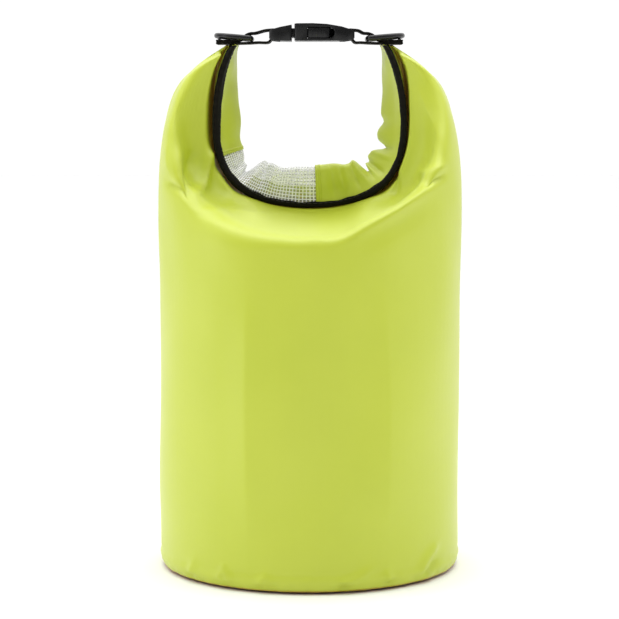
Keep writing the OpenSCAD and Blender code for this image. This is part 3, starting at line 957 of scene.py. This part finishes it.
@dataclass(frozen=True)
class WovenTape:
    """Black polyester narrow-weave, a binding tape or a webbing.

    Its ribs run across the tape, crossed by the warp, and the yarn's nap catches a grey sheen.
    """

    name: str
    rib: float
    warp: float
    strength: float = 0.55
    colour: str = "#0C0A07"
    light: str = "#1B1813"

    def build(self) -> bpy.types.Material:
        """Makes the material."""
        material, bench, shader = new_material(self.name)
        uv, place = bench.uv(), bench.place()
        both = bench.maths("MULTIPLY", bench.threads(uv, "X", self.rib), bench.threads(uv, "Y", self.warp))
        height = bench.maths("MULTIPLY_ADD", bench.noise(place, 900.0, 2.0), 0.35, both)
        look = {
            "Base Color": bench.dye(both, linear(self.colour), linear(self.light)),
            "Normal": bench.relief(height, self.strength, 0.0004),
            "Roughness": 0.8,
            "Specular IOR Level": 0.16,
        }
        sheen = {"Sheen Weight": 0.05, "Sheen Roughness": 0.4, "Sheen Tint": linear("#8C8A80")}
        bench.plug(shader, look | sheen)
        return material


@dataclass(frozen=True)
class MouldedPlastic:
    """Injection-moulded acetal, black, with a fine spark-eroded texture and a satin shine.

    Handling has polished it a little unevenly, so its shine wanders.
    """

    name: str
    colour: str = "#0B0B0B"
    roughness: float = 0.3
    grain: float = 0.35 * MM

    def build(self) -> bpy.types.Material:
        """Makes the material."""
        material, bench, shader = new_material(self.name)
        place = bench.place()
        grain, wear = bench.noise(place, 1.0 / self.grain, 2.0), bench.noise(place, 160.0, 4.0)
        look = {
            "Roughness": bench.spread(wear, (0.3, 0.7), (self.roughness - 0.07, self.roughness + 0.1)),
            "Base Color": bench.dye(wear, linear(self.colour), linear("#151516")),
            "Normal": bench.relief(grain, 0.12, 0.00012),
            "Specular IOR Level": 0.36,
        }
        bench.plug(shader, look)
        return material


@dataclass(frozen=True)
class SewingThread:
    """Black bonded polyester thread: twisted plies with a dull shine."""

    name: str = "bonded_polyester_thread"

    def build(self) -> bpy.types.Material:
        """Makes the material."""
        material, bench, shader = new_material(self.name)
        inputs = {"Vector": bench.place(), "Scale": 260.0}
        ply = bench.make("ShaderNodeTexWave", {"bands_direction": "DIAGONAL"}, inputs).outputs["Fac"]
        look = {
            "Base Color": bench.dye(ply, linear("#0E0D0B"), linear("#24221D")),
            "Normal": bench.relief(ply, 0.4, 0.0002),
            "Roughness": 0.55,
        }
        bench.plug(shader, look)
        return material


class Finish(Enum):
    """The finishes of the bag, each with the record's slot that it stands for."""

    FABRIC = ("coated_fabric", CoatedFabric())
    LINING = ("coated_fabric", CoatedFabric(name="pvc_coated_polyester_lining", crevice=1.0 * MM))
    WINDOW = ("clear_window", ReinforcedVinyl())
    BINDING = ("binding_tape", WovenTape("grosgrain_binding_tape", rib=0.8 * MM, warp=1.5 * MM))
    WEBBING = ("webbing", WovenTape("polyester_webbing", rib=1.0 * MM, warp=1.9 * MM, strength=0.8))
    THREAD = ("thread", SewingThread())
    BUCKLE = ("buckle_plastic", MouldedPlastic("satin_moulded_acetal"))
    RING = ("ring_plastic", MouldedPlastic("glossy_moulded_acetal", roughness=0.26))
    STIFFENER = (
        "stiffener_plastic",
        MouldedPlastic("extruded_polyethylene", colour="#202020", roughness=0.5),
    )


class FinishShop:
    """Makes each finish once and hands it out."""

    def __init__(self) -> None:
        """Starts with no finish made."""
        self.made: dict[Finish, bpy.types.Material] = {}

    def dress(self, piece: bpy.types.Object, finish: Finish) -> bpy.types.Object:
        """Gives a piece its finish.

        Args:
            piece: the object to dress.
            finish: which finish.

        Returns:
            The same object.
        """
        slot, recipe = finish.value
        if finish not in self.made:
            self.made[finish] = recipe.build()
        piece.data.materials.clear()
        piece.data.materials.append(self.made[finish])
        return piece


# ------------------------------------------------------------------------------------------- sub-assemblies


class Body(Enum):
    """The CAD bodies."""

    BAG = "bag"
    LEFT_END = "left_end"
    FRONT_PRONG = "front_prong_body"
    REAR_PRONG = "rear_prong_body"
    LEFT_RING = "left_ring_body"
    RIGHT_RING = "right_ring_body"


@dataclass
class LeftPull:
    """How the fabric would follow the mouth's left end when the buckle lets go; its numbers are not used yet.
    """

    way: tuple[float, float, float] = (-0.6, 0.0, 0.8)
    start: float = 0.236
    end: float = 0.290

    def apply(self, piece: bpy.types.Object) -> None:
        """Bakes a piece's transform into its mesh; it does not bend the piece."""
        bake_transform(piece)


@dataclass
class FabricBag:
    """The welded bag: its fabric tube, its clear strip and its base."""

    shop: FinishShop
    wall: Wall
    pull: LeftPull
    window: tuple[float, float] = (-0.5, 0.025)
    weld_lap: float = 7.0
    thickness: float = 0.55
    rows: int = 150

    def fold_path(self, s: Array, t: Array, start: Array, half_n: float, crease: float) -> Array:
        """A layer's way over the fold: up its back, round the crease and down its front to the bound edge.

        Args:
            s: places along the mouth.
            t: places along the way, from 0 to 1.
            start: where across the fold the way begins.
            half_n: half of the thickness that the layer encloses.
            crease: where across the fold its crease begins.

        Returns:
            The points, in millimetres.
        """
        hem = mix(2.0, 0.7, smooth((np.abs(s) - 0.12) / 0.23))
        rise, bend, fall = crease - start, math.pi * half_n * 1.15, crease - hem
        run = np.maximum(t, 0.0) * (rise + bend + fall)
        turn = np.clip((run - rise) / bend, 0.0, 1.0) * math.pi
        w = np.where(run < rise, start + run, crease + 1.3 * half_n * np.sin(turn))
        w = np.where(run > rise + bend, crease - (run - rise - bend), w)
        n = -half_n * np.cos(turn)
        w, n = self.wall.mouth.gathered(s, w, n)
        return self.wall.mouth.place(s, w, n)

    def panel(self, u0: float, u1: float, folded: bool, lift: float = 0.0) -> Callable[[Array, Array], Array]:
        """The shape of a panel: up the wall and, on the back, on over the fold.

        Args:
            u0: the place round the wall where the panel begins.
            u1: the place where it ends.
            folded: whether it goes on over the fold, as the back panel does.
            lift: how far the panel stands out of the wall, in millimetres.

        Returns:
            The shape, for grid_piece.
        """
        wall, mouth = self.wall, self.wall.mouth
        split = 0.74 if folded else 1.0
        half_n, crease = mouth.half_n + lift, mouth.depth - 1.3 * mouth.half_n

        def shape(a: Array, b: Array) -> Array:
            """A point of the panel.

            Args:
                a: places from side to side, from 0 to 1.
                b: places from end to end, from 0 to 1.

            Returns:
                The points.
            """
            u = mix(u0, u1, a)
            v = np.clip(b / split, 0.0, 1.0)
            # the wall's rows draw together at its foot and over the shoulder
            v = np.where(v < 0.16, v * 0.5, mix(0.08, 1.0, (v - 0.16) / 0.84))
            low = wall.surface(u, v) + wall.normal(u, v) * lift
            if not folded:
                return low
            w, _ = wall.seam(u)
            high = self.fold_path(wall.mouth_s(u), (b - split) / (1.0 - split), w + 0.8, half_n, crease)
            return np.where((b <= split)[..., None], low, high)

        return shape

    def inner_layer(self, a: Array, b: Array) -> Array:
        """The front panel's hem, folded tight inside the back panel."""
        s = mix(-1.0, 1.0, a)
        return self.fold_path(s, b, mix(0.5, 5.0, smooth((np.abs(s) - 0.15) / 0.3)), 1.3, 13.0)

    def back_u(self, s: float) -> float:
        """The place round the back of the wall that runs up to a place along the mouth."""
        return (3.0 - s) / 4.0

    def build_fabric(self) -> bpy.types.Object:
        """The green tube, in one piece with the layers that it folds into."""
        left, right = self.back_u(self.window[0]), self.back_u(self.window[1])
        bm = grid_piece("front_panel", 180, self.rows, self.panel(0.0, 0.5, False))
        for name, u0, u1, columns in (("back_right", 0.5, right, 84), ("back_left", left, 1.0, 44)):
            join(bm, grid_piece(name, columns, self.rows, self.panel(u0, u1, True)))
        piece = finished(bm, "bag_fabric", weld=0.12 * MM)
        thicken(piece, self.thickness * MM)
        self.shop.dress(piece, Finish.FABRIC)
        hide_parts("body_fabric", "roll_outer_fabric")
        self.pull.apply(piece)
        return piece

    def build_hem(self) -> bpy.types.Object:
        """The front panel's hem, which shows green through the clear strip."""
        piece = finished(grid_piece("inner_layer", 160, 24, self.inner_layer), "mouth_hem")
        thicken(piece, self.thickness * MM)
        self.shop.dress(piece, Finish.LINING)
        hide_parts("roll_inner_fabric")
        self.pull.apply(piece)
        return piece

    def build_window(self) -> bpy.types.Object:
        """The clear strip, which runs up the back and over the fold inside the fabric's two edges."""
        lap = self.weld_lap / (2.0 * math.pi * self.wall.depth / 2.0)
        left, right = self.back_u(self.window[0]) + lap, self.back_u(self.window[1]) - lap
        shape = self.panel(right, left, True, lift=-0.62)
        piece = finished(grid_piece("window_strip", 64, 170, shape), "window_strip")
        thicken(piece, 0.35 * MM)
        self.shop.dress(piece, Finish.WINDOW)
        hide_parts("body_window", "roll_window")
        self.pull.apply(piece)
        return piece

    def build_window_welds(self) -> bpy.types.Object:
        """The two pressed weld lines that hold the fabric's edges down on the clear strip."""
        bm = bmesh.new()
        width = 1.6 / (math.pi * self.wall.depth)
        for s, way in ((self.window[0], 1.0), (self.window[1], -1.0)):
            edge = self.back_u(s)
            first = edge + way * width * 1.2
            ends = sorted((first, first + way * width))
            join(bm, grid_piece("weld", 2, 170, self.panel(ends[0], ends[1], True, 0.16)))
        piece = finished(bm, "window_weld_lines")
        thicken(piece, 0.3 * MM)
        self.shop.dress(piece, Finish.FABRIC)
        self.pull.apply(piece)
        return piece

    def build_base(self) -> bpy.types.Object:
        """The base: a disc that bows up a little, with its rim turned up inside the wall."""
        _, high = node_extent("base_panel")
        bm = bmesh.new()
        bmesh.ops.create_circle(bm, cap_ends=True, cap_tris=False, segments=192, radius=1.0)
        rim = list(bm.edges)
        top = bmesh.ops.extrude_edge_only(bm, edges=rim)
        raised = [v for v in top["geom"] if isinstance(v, bmesh.types.BMVert)]
        bmesh.ops.translate(bm, verts=raised, vec=(0.0, 0.0, 1.0))
        floor = [f for f in bm.faces if len(f.verts) > 4]
        for step in (0.03, 0.07, 0.1, 0.15, 0.2, 0.2):
            bmesh.ops.inset_region(bm, faces=floor, thickness=step, use_even_offset=False)
        for vert in bm.verts:
            r = math.hypot(vert.co.x, vert.co.y)
            wave = 0.4 * math.sin(5.0 * math.atan2(vert.co.y, vert.co.x) + 0.6) * r * r
            bow = (3.2 + wave) * (1.0 - min(1.0, r) ** 2.4)
            z = high.z if vert.co.z > 0.5 else 0.45 + max(0.0, bow)
            shrink = 0.975 if vert.co.z > 0.5 else 0.93
            vert.co = Vector((vert.co.x * shrink * high.x, vert.co.y * shrink * high.y, z)) * MM
        bmesh.ops.recalc_face_normals(bm, faces=bm.faces)
        piece = finished(bm, "base_disc")
        soften_edges(piece, 1.4 * MM, 50.0)
        thicken(piece, self.thickness * MM, 1.0)
        self.shop.dress(piece, Finish.FABRIC)
        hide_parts("base_panel")
        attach(piece, Body.BAG.value)
        return piece

    def build_weld_tape(self) -> bpy.types.Object:
        """The tape welded inside over the edge of the base's rim."""
        low, high = node_extent("base_weld_tape")

        def shape(a: Array, b: Array) -> Array:
            """A point of the tape.

            Args:
                a: places from side to side, from 0 to 1.
                b: places from end to end, from 0 to 1.

            Returns:
                The points.
            """
            angle = 2.0 * math.pi * a
            r = 1.0 - 0.006 * np.sin(math.pi * b) * np.sin(angle * 9.0) ** 2
            return vec(high.x * r * np.cos(angle), high.y * r * np.sin(angle), mix(low.z, high.z, b))

        piece = finished(grid_piece("weld_tape", 160, 4, shape), "base_weld_tape_band", weld=0.05 * MM)
        thicken(piece, 0.4 * MM)
        self.shop.dress(piece, Finish.FABRIC)
        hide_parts("base_weld_tape")
        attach(piece, Body.BAG.value)
        return piece

    def build(self) -> list[bpy.types.Object]:
        """Builds the bag's pieces."""
        return [
            self.build_fabric(),
            self.build_hem(),
            self.build_window(),
            self.build_window_welds(),
            self.build_base(),
            self.build_weld_tape(),
        ]


@dataclass
class BoundEdge:
    """The mouth's bound edge: binding tape, its stitches and the stiffener inside the fold."""

    shop: FinishShop
    mouth: Mouth
    pull: LeftPull
    height: tuple[tuple[float, ...], ...] = (
        (-1.0, -0.8, -0.65, -0.5, -0.3, -0.15, 0.0, 0.15, 0.22, 0.4, 0.7, 1.0),
        (5.2, 5.2, 4.0, 2.6, 3.2, 4.8, 4.9, 4.8, 4.2, 1.7, 1.5, 3.2),
    )
    foot: tuple[tuple[float, ...], ...] = (
        (-1.0, -0.35, -0.12, 0.12, 0.35, 1.0),
        (-1.4, -1.1, 1.5, 1.5, -1.3, -1.5),
    )
    inner_n: float = 1.0
    outer_n: float = 4.0
    hidden_leg: float = 2.0
    stitch_pitch: float = 3.1
    length: float = 296.0

    def tape_shape(self, a: Array, b: Array) -> Array:
        """The tape's section, a hairpin round the fold's lower edge, along the mouth.

        Args:
            a: places along the mouth, from 0 to 1.
            b: places round the hairpin, from 0 to 1.

        Returns:
            The points.
        """
        s = mix(-0.995, 0.995, a)
        middle, half = (self.inner_n + self.outer_n) / 2.0, (self.outer_n - self.inner_n) / 2.0
        top, foot = np.interp(s, *self.height), np.interp(s, *self.foot) + half * 0.9
        leg, bend = top - foot, math.pi * half
        rear = leg + self.hidden_leg
        run = b * (leg + rear + bend)
        turn = np.clip((run - rear) / bend, 0.0, 1.0) * math.pi
        w = np.where(run < rear, foot + rear - run, foot - half * 0.9 * np.sin(turn))
        w = np.where(run > rear + bend, foot + run - rear - bend, w)
        n = middle - half * np.cos(turn)
        # the tape's edge wanders a little, and its stitches draw it in
        wander = 0.2 * np.sin(s * 47.0) + 0.15 * np.sin(s * 83.0 + 1.0)
        drawn = 0.14 * np.abs(np.sin(math.pi * s * self.length / 2.0 / self.stitch_pitch)) * bump(w, 3.0, 1.6)
        # the leg inside the fold lies on the layer in front of it
        n = np.where(n < middle, n + 1.2 * smooth((w - top) / 1.5), n + drawn)
        return self.mouth.place(s, w + wander * smooth((w - foot) / leg), n)

    def build_tape(self) -> bpy.types.Object:
        """The binding tape."""
        piece = finished(grid_piece("binding_tape", 420, 18, self.tape_shape), "binding_tape")
        thicken(piece, 0.55 * MM, 0.0)
        self.shop.dress(piece, Finish.BINDING)
        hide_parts("mouth_binding")
        self.pull.apply(piece)
        return piece

    def build_stitches(self) -> bpy.types.Object:
        """A row of lock stitches along the tape's front face."""
        count = round(self.length * 0.95 / self.stitch_pitch)
        places = np.linspace(-0.95, 0.95, count)
        half = 0.36 * 1.9 / count
        rows = [places + k * half for k in (-1, 1)]
        out = np.full(count, self.outer_n + 0.38)
        ends = [self.mouth.place(s, np.interp(s, *self.height) - 0.9, out) for s in rows]
        bm = bmesh.new()
        for a, b in zip(ends[0] * MM, ends[1] * MM):
            first, last = Vector(a), Vector(b)
            way = last - first
            turn = way.to_track_quat("Z", "Y").to_matrix().to_4x4()
            size = Matrix.Diagonal((0.26 * MM, 0.26 * MM, way.length * 0.62, 1.0))
            place = Matrix.Translation((first + last) / 2.0) @ turn @ size
            bmesh.ops.create_uvsphere(bm, u_segments=8, v_segments=6, radius=1.0, matrix=place)
        piece = finished(bm, "binding_lock_stitches")
        self.shop.dress(piece, Finish.THREAD)
        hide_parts("binding_stitches")
        self.pull.apply(piece)
        return piece

    def build_stiffener(self) -> bpy.types.Object:
        """The flat plastic strip that keeps the mouth straight."""

        def shape(a: Array, b: Array) -> Array:
            """A point of the strip."""
            s = mix(-0.975, 0.975, a)
            return self.mouth.place(s, mix(3.0, 12.5, b), np.zeros_like(b))

        piece = finished(grid_piece("stiffener", 160, 4, shape), "stiffener_strip_flat")
        thicken(piece, 0.6 * MM, 0.0)
        self.shop.dress(piece, Finish.STIFFENER)
        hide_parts("stiffener_strip")
        self.pull.apply(piece)
        return piece

    def build(self) -> list[bpy.types.Object]:
        """Builds the bound edge's pieces."""
        return [self.build_tape(), self.build_stitches(), self.build_stiffener()]


@dataclass
class Hardware:
    """Webbing straps, D-rings and the side-release buckle."""

    shop: FinishShop
    webbing_w: float = 25.0
    webbing_t: float = 1.4
    ring_r: float = 1.7
    ring_tilt: float = 5.0
    ring_x: float = 36.5
    tack_x: tuple[float, float] = (50.5, 56.0)
    tack_stitches: int = 26
    tack_pitch: float = 0.83

    def strap_line(self, bar_x: float, bar_z: float, layer_z: float, ring_x: float, ring_z: float) -> Array:
        """The webbing's middle line, x and z, on the right-hand side.

        Args:
            bar_x: the x of the buckle's bar.
            bar_z: its z.
            layer_z: the height of the lower layer.
            ring_x: the x of the ring.
            ring_z: its z.

        Returns:
            The line's points, in millimetres.
        """
        upper = layer_z + self.webbing_t + 0.05
        wrap = 2.15 + self.webbing_t / 2.0
        start = [(58, layer_z), (50, layer_z), (44, layer_z), (37, layer_z + 0.2), (32, layer_z + 0.5)]
        start.append((bar_x + 3, bar_z - 5))
        angles = [math.radians(-75 - 30 * k) for k in range(8)]
        loop = [(bar_x + wrap * math.cos(a), bar_z + wrap * math.sin(a)) for a in angles]
        end = [
            (bar_x + 5, bar_z + 2.3),
            (ring_x - 3, ring_z + 3.4),
            (ring_x, ring_z + 3.15),
            (ring_x + 3, ring_z + 2.0),
            (ring_x + 6, ring_z - 0.6),
            (ring_x + 9, upper + 0.25),
            (ring_x + 11.5, upper),
            (58, upper),
        ]
        knots = np.array(start + loop + end, float)
        pad = np.vstack([2 * knots[0] - knots[1], knots, 2 * knots[-1] - knots[-2]])
        out = []
        for i in range(len(knots) - 1):
            a, b, c, d = pad[i : i + 4]
            for t in np.linspace(0.0, 1.0, 8, endpoint=False):
                square, cube = 2 * a - 5 * b + 4 * c - d, 3 * b - a - 3 * c + d
                out.append(0.5 * (2 * b + (c - a) * t + square * t * t + cube * t**3))
        return np.array(out + [knots[-1]])

    def build_strap(
        self, side: float, name: str, node: str, bar: tuple[float, float], body: Body
    ) -> bpy.types.Object:
        """A strap: webbing through the ring, round the buckle's bar and back.

        Args:
            side: -1 on the left and 1 on the right.
            name: the piece's name.
            node: the CAD node it stands for.
            bar: the buckle bar's x and z on the right-hand side, in millimetres.
            body: the body that it moves with.

        Returns:
            The strap.
        """
        low, _ = node_extent(node)
        layer_z = low.z + self.webbing_t / 2.0
        line = self.strap_line(bar[0], bar[1], layer_z, self.ring_x, layer_z + 2.95)
        run = run_along(line)
        run = run / run[-1]

        def shape(a: Array, b: Array) -> Array:
            """A point of the webbing."""
            x, z = np.interp(a, run, line[:, 0]), np.interp(a, run, line[:, 1])
            return vec(side * x, (b - 0.5) * self.webbing_w, z)

        bm = grid_piece(name, 170, 12, shape)
        bmesh.ops.recalc_face_normals(bm, faces=bm.faces)
        piece = finished(bm, name)
        thicken(piece, (self.webbing_t - 0.05) * MM, 0.0)
        soften_edges(piece, 0.35 * MM, 50.0)
        self.shop.dress(piece, Finish.WEBBING)
        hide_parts(node)
        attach(piece, body.value)
        return piece

    def build_bartack(self, side: float, name: str, node: str, body: Body) -> bpy.types.Object:
        """Two bars of close zigzag stitching through the strap's sewn ends.

        Args:
            side: -1 on the left and 1 on the right.
            name: the piece's name.
            node: the CAD node it stands for.
            body: the body that it moves with.

        Returns:
            The stitches.
        """
        _, high = node_extent(node)
        bm = bmesh.new()
        for x in self.tack_x:
            for i in range(self.tack_stitches):
                y = -10.4 + i * self.tack_pitch
                slant = 0.5 if i % 2 else -0.5
                place = (
                    Matrix.Translation(Vector((side * x, y, high.z - 0.12)) * MM)
                    @ Matrix.Rotation(slant, 4, "Z")
                    @ Matrix.Diagonal((1.15 * MM, 0.24 * MM, 0.2 * MM, 1.0))
                )
                bmesh.ops.create_uvsphere(bm, u_segments=8, v_segments=6, radius=1.0, matrix=place)
        piece = finished(bm, name)
        self.shop.dress(piece, Finish.THREAD)
        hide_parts(node)
        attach(piece, body.value)
        return piece

    def build_ring(self, side: float, name: str, node: str, body: Body) -> bpy.types.Object:
        """A D-ring: a straight bar closed by a bow, of round stock, with rounded corners.

        Args:
            side: -1 on the left and 1 on the right.
            name: the piece's name.
            node: the CAD node it stands for.
            body: the body that it moves with.

        Returns:
            The ring.
        """
        _, high = node_extent(node)
        r, bow, leg, corner = self.ring_r, 15.0, 6.5, 3.2
        bm = bmesh.new()
        start = Matrix.Translation((0, -(bow - corner), 0)) @ Matrix.Rotation(math.pi / 2, 4, "X")
        bmesh.ops.create_circle(bm, segments=20, radius=r, matrix=start)
        edges = list(bm.edges)
        geometry = list(bm.verts) + edges

        def go_straight(section: list, way: Vector, steps: int) -> list:
            """Runs the section on along a straight line and returns its new end.

            Args:
                section: the section's points and edges.
                way: the whole way.
                steps: the number of steps.

            Returns:
                The new end's points and edges.
            """
            for _ in range(steps):
                ends = [g for g in section if isinstance(g, bmesh.types.BMEdge)]
                made = bmesh.ops.extrude_edge_only(bm, edges=ends)
                section = made["geom"]
                verts = [g for g in section if isinstance(g, bmesh.types.BMVert)]
                bmesh.ops.translate(bm, verts=verts, vec=way / steps)
                keep = set(verts)
                section = verts + [e for e in bm.edges if e.verts[0] in keep and e.verts[1] in keep]
            return section

        def go_round(section: list, centre: Vector, angle: float, steps: int) -> list:
            """Spins the section about Z and returns its new end.

            Args:
                section: the section's points and edges.
                centre: what it turns about.
                angle: how far it turns.
                steps: the number of steps.

            Returns:
                The new end's points and edges.
            """
            made = bmesh.ops.spin(
                bm, geom=section, cent=centre, axis=(0, 0, 1), angle=angle, steps=steps, use_merge=False
            )
            return made["geom_last"]

        section = go_straight(geometry, Vector((0, 2 * (bow - corner), 0)), 6)
        section = go_round(section, Vector((corner, bow - corner, 0)), -math.pi / 2, 6)
        section = go_straight(section, Vector((leg - corner, 0, 0)), 2)
        section = go_round(section, Vector((leg, 0, 0)), -math.pi, 36)
        section = go_straight(section, Vector((corner - leg, 0, 0)), 2)
        go_round(section, Vector((corner, corner - bow, 0)), -math.pi / 2, 6)
        bmesh.ops.remove_doubles(bm, verts=bm.verts, dist=0.01)
        bmesh.ops.recalc_face_normals(bm, faces=bm.faces)
        mid_z = high.z - r - math.sin(math.radians(self.ring_tilt)) * (leg + bow)
        turn = Matrix.Rotation(math.radians(-self.ring_tilt), 4, "Y")
        place = Matrix.Translation(Vector((self.ring_x, 0, mid_z)) * MM) @ turn @ Matrix.Scale(MM, 4)
        bmesh.ops.transform(bm, matrix=place, verts=bm.verts)
        if side < 0:
            bmesh.ops.scale(bm, vec=(-1, 1, 1), verts=bm.verts)
            bmesh.ops.recalc_face_normals(bm, faces=bm.faces)
        piece = finished(bm, name)
        self.shop.dress(piece, Finish.RING)
        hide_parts(node)
        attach(piece, body.value)
        return piece

    def build_moulding(self, name: str, node: str, body: Body, width: float) -> bpy.types.Object:
        """A moulded piece of the buckle: the CAD solid with its edges rounded as the mould rounds them.

        Args:
            name: the piece's name.
            node: the CAD node it stands for.
            body: the body that it moves with.
            width: the width of the rounding, in millimetres.

        Returns:
            The moulding.
        """
        bm = bmesh.new()
        bm.from_mesh(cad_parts[node].data)
        bmesh.ops.remove_doubles(bm, verts=bm.verts, dist=0.002 * MM)
        bmesh.ops.dissolve_limit(
            bm, angle_limit=math.radians(2.0), verts=bm.verts, edges=bm.edges, delimit={"NORMAL"}
        )
        piece = finished(bm, name)
        soften_edges(piece, width * MM)
        self.shop.dress(piece, Finish.BUCKLE)
        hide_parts(node)
        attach(piece, body.value)
        return piece

    def build_grips(self, side: float, name: str, body: Body) -> bpy.types.Object:
        """Three low ribs on a prong's pad, which the finger presses.

        Args:
            side: -1 for the front prong and 1 for the rear one.
            name: the piece's name.
            body: the body that it moves with.

        Returns:
            The ribs.
        """
        low, high = node_extent("front_prong")
        bm = bmesh.new()
        for x in (1.6, 4.8, 8.0):
            place = Matrix.Translation(Vector((x, side * -low.y, (low.z + high.z) / 2.0)) * MM)
            size = Matrix.Diagonal((0.5 * MM, 0.38 * MM, 2.2 * MM, 1.0))
            bmesh.ops.create_uvsphere(bm, u_segments=16, v_segments=10, radius=1.0, matrix=place @ size)
        piece = finished(bm, name)
        self.shop.dress(piece, Finish.BUCKLE)
        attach(piece, body.value)
        return piece

    def build(self) -> list[bpy.types.Object]:
        """Builds the hardware."""
        bar_z = 335.4
        return [
            self.build_strap(-1.0, "left_webbing", "left_strap", (22.8, bar_z), Body.LEFT_END),
            self.build_strap(1.0, "right_webbing", "right_strap", (25.4, bar_z), Body.BAG),
            self.build_bartack(-1.0, "left_bartack_stitches", "left_bartack", Body.LEFT_END),
            self.build_bartack(1.0, "right_bartack_stitches", "right_bartack", Body.BAG),
            self.build_ring(-1.0, "left_ring", "left_d_ring", Body.LEFT_RING),
            self.build_ring(1.0, "right_ring", "right_d_ring", Body.RIGHT_RING),
            self.build_moulding("buckle_plug_half", "buckle_plug", Body.LEFT_END, 0.4),
            self.build_moulding("buckle_socket_half", "buckle_socket", Body.BAG, 0.45),
            self.build_moulding("front_prong_arm", "front_prong", Body.FRONT_PRONG, 0.35),
            self.build_moulding("rear_prong_arm", "rear_prong", Body.REAR_PRONG, 0.35),
            self.build_grips(-1.0, "front_prong_grips", Body.FRONT_PRONG),
            self.build_grips(1.0, "rear_prong_grips", Body.REAR_PRONG),
        ]


# --------------------------------------------------------------------------------------------------- studio


@dataclass
class Studio:
    """A white sweep, soft light from both sides and above, and the camera."""

    camera_at: tuple[float, float, float] = (0.0, -1.3, 0.3015)
    look_at: tuple[float, float, float] = (0.0, 0.0, 0.1625)
    lens: float = 119.9
    front_dim: float = 0.26
    top_extra: float = 1.1

    def build_camera(self) -> None:
        """The camera, a little above the bag and looking slightly down."""
        data = bpy.data.cameras.new("studio_camera")
        data.lens = self.lens
        data.sensor_width = 36.0
        camera = bpy.data.objects.new("studio_camera", data)
        camera.location = self.camera_at
        way = Vector(self.look_at) - Vector(self.camera_at)
        camera.rotation_euler = way.to_track_quat("-Z", "Y").to_euler()
        bpy.context.scene.collection.objects.link(camera)
        bpy.context.scene.camera = camera

    def build_floor(self) -> None:
        """A white floor."""
        bm = bmesh.new()
        bmesh.ops.create_grid(bm, x_segments=8, y_segments=8, size=6.0)
        floor = finished(bm, "studio_floor")
        material, _, shader = new_material("white_sweep")
        shader.inputs["Base Color"].default_value = linear("#FAFAFA")
        shader.inputs["Roughness"].default_value = 0.9
        shader.inputs["Specular IOR Level"].default_value = 0.1
        floor.data.materials.append(material)

    def build_light(
        self, name: str, at: tuple[float, float, float], size: tuple[float, float], power: float
    ) -> None:
        """A softbox that faces the bag.

        Args:
            name: the light's name.
            at: where it stands.
            size: its width and height, in metres.
            power: its power, in watts.
        """
        data = bpy.data.lights.new(name, "AREA")
        data.shape = "RECTANGLE"
        data.size, data.size_y = size
        data.energy = power
        light = bpy.data.objects.new(name, data)
        light.location = at
        light.rotation_euler = (Vector((0.0, 0.0, 0.16)) - Vector(at)).to_track_quat("-Z", "Y").to_euler()
        bpy.context.scene.collection.objects.link(light)

    def build_sky(self) -> None:
        """The white room: bright behind the bag and above it, and dimmer where the camera stands."""
        world = bpy.data.worlds.new("studio_world")
        world.use_nodes = True
        bench = NodeBench(world.node_tree)
        way = bench.make("ShaderNodeTexCoord").outputs["Generated"]
        parts = bench.make("ShaderNodeSeparateXYZ", {}, {0: way})
        back = bench.spread(parts.outputs["Y"], (0.05, 0.85), (self.front_dim, 1.03), eased=True)
        above = bench.spread(parts.outputs["Z"], (0.35, 0.95), (0.0, self.top_extra), eased=True)
        background = world.node_tree.nodes["Background"]
        bench.plug(background, {"Strength": bench.maths("ADD", back, above), "Color": (1.0, 1.0, 1.0, 1.0)})
        bpy.context.scene.world = world

    def build(self) -> None:
        """Builds the studio."""
        self.build_camera()
        self.build_floor()
        self.build_sky()
        bpy.context.scene.view_settings.view_transform = "Standard"
        self.build_light("left_softbox", (-1.1, -0.2, 0.35), (0.4, 1.2), 2.9)
        self.build_light("right_softbox", (1.2, -0.1, 0.35), (0.3, 1.2), 1.5)
        self.build_light("top_softbox", (0.0, 0.0, 1.2), (1.6, 0.8), 8.2)


def main() -> None:
    """Builds the bag piece by piece and says what was made."""
    logging.basicConfig(level=logging.INFO, format="%(name)s: %(message)s")
    Studio().build()
    low, high = node_extent("body_fabric")
    wall = Wall(width=high.x - low.x, depth=high.y - low.y)
    shop, pull = FinishShop(), LeftPull()
    assemblies = (
        FabricBag(shop, wall, pull),
        BoundEdge(shop, wall.mouth, pull),
        Hardware(shop),
    )
    for assembly in assemblies:
        for piece in assembly.build():
            LOG.info("%s: %s, %d faces", type(assembly).__name__, piece.name, len(piece.data.polygons))


if __name__ == "__main__":
    main()
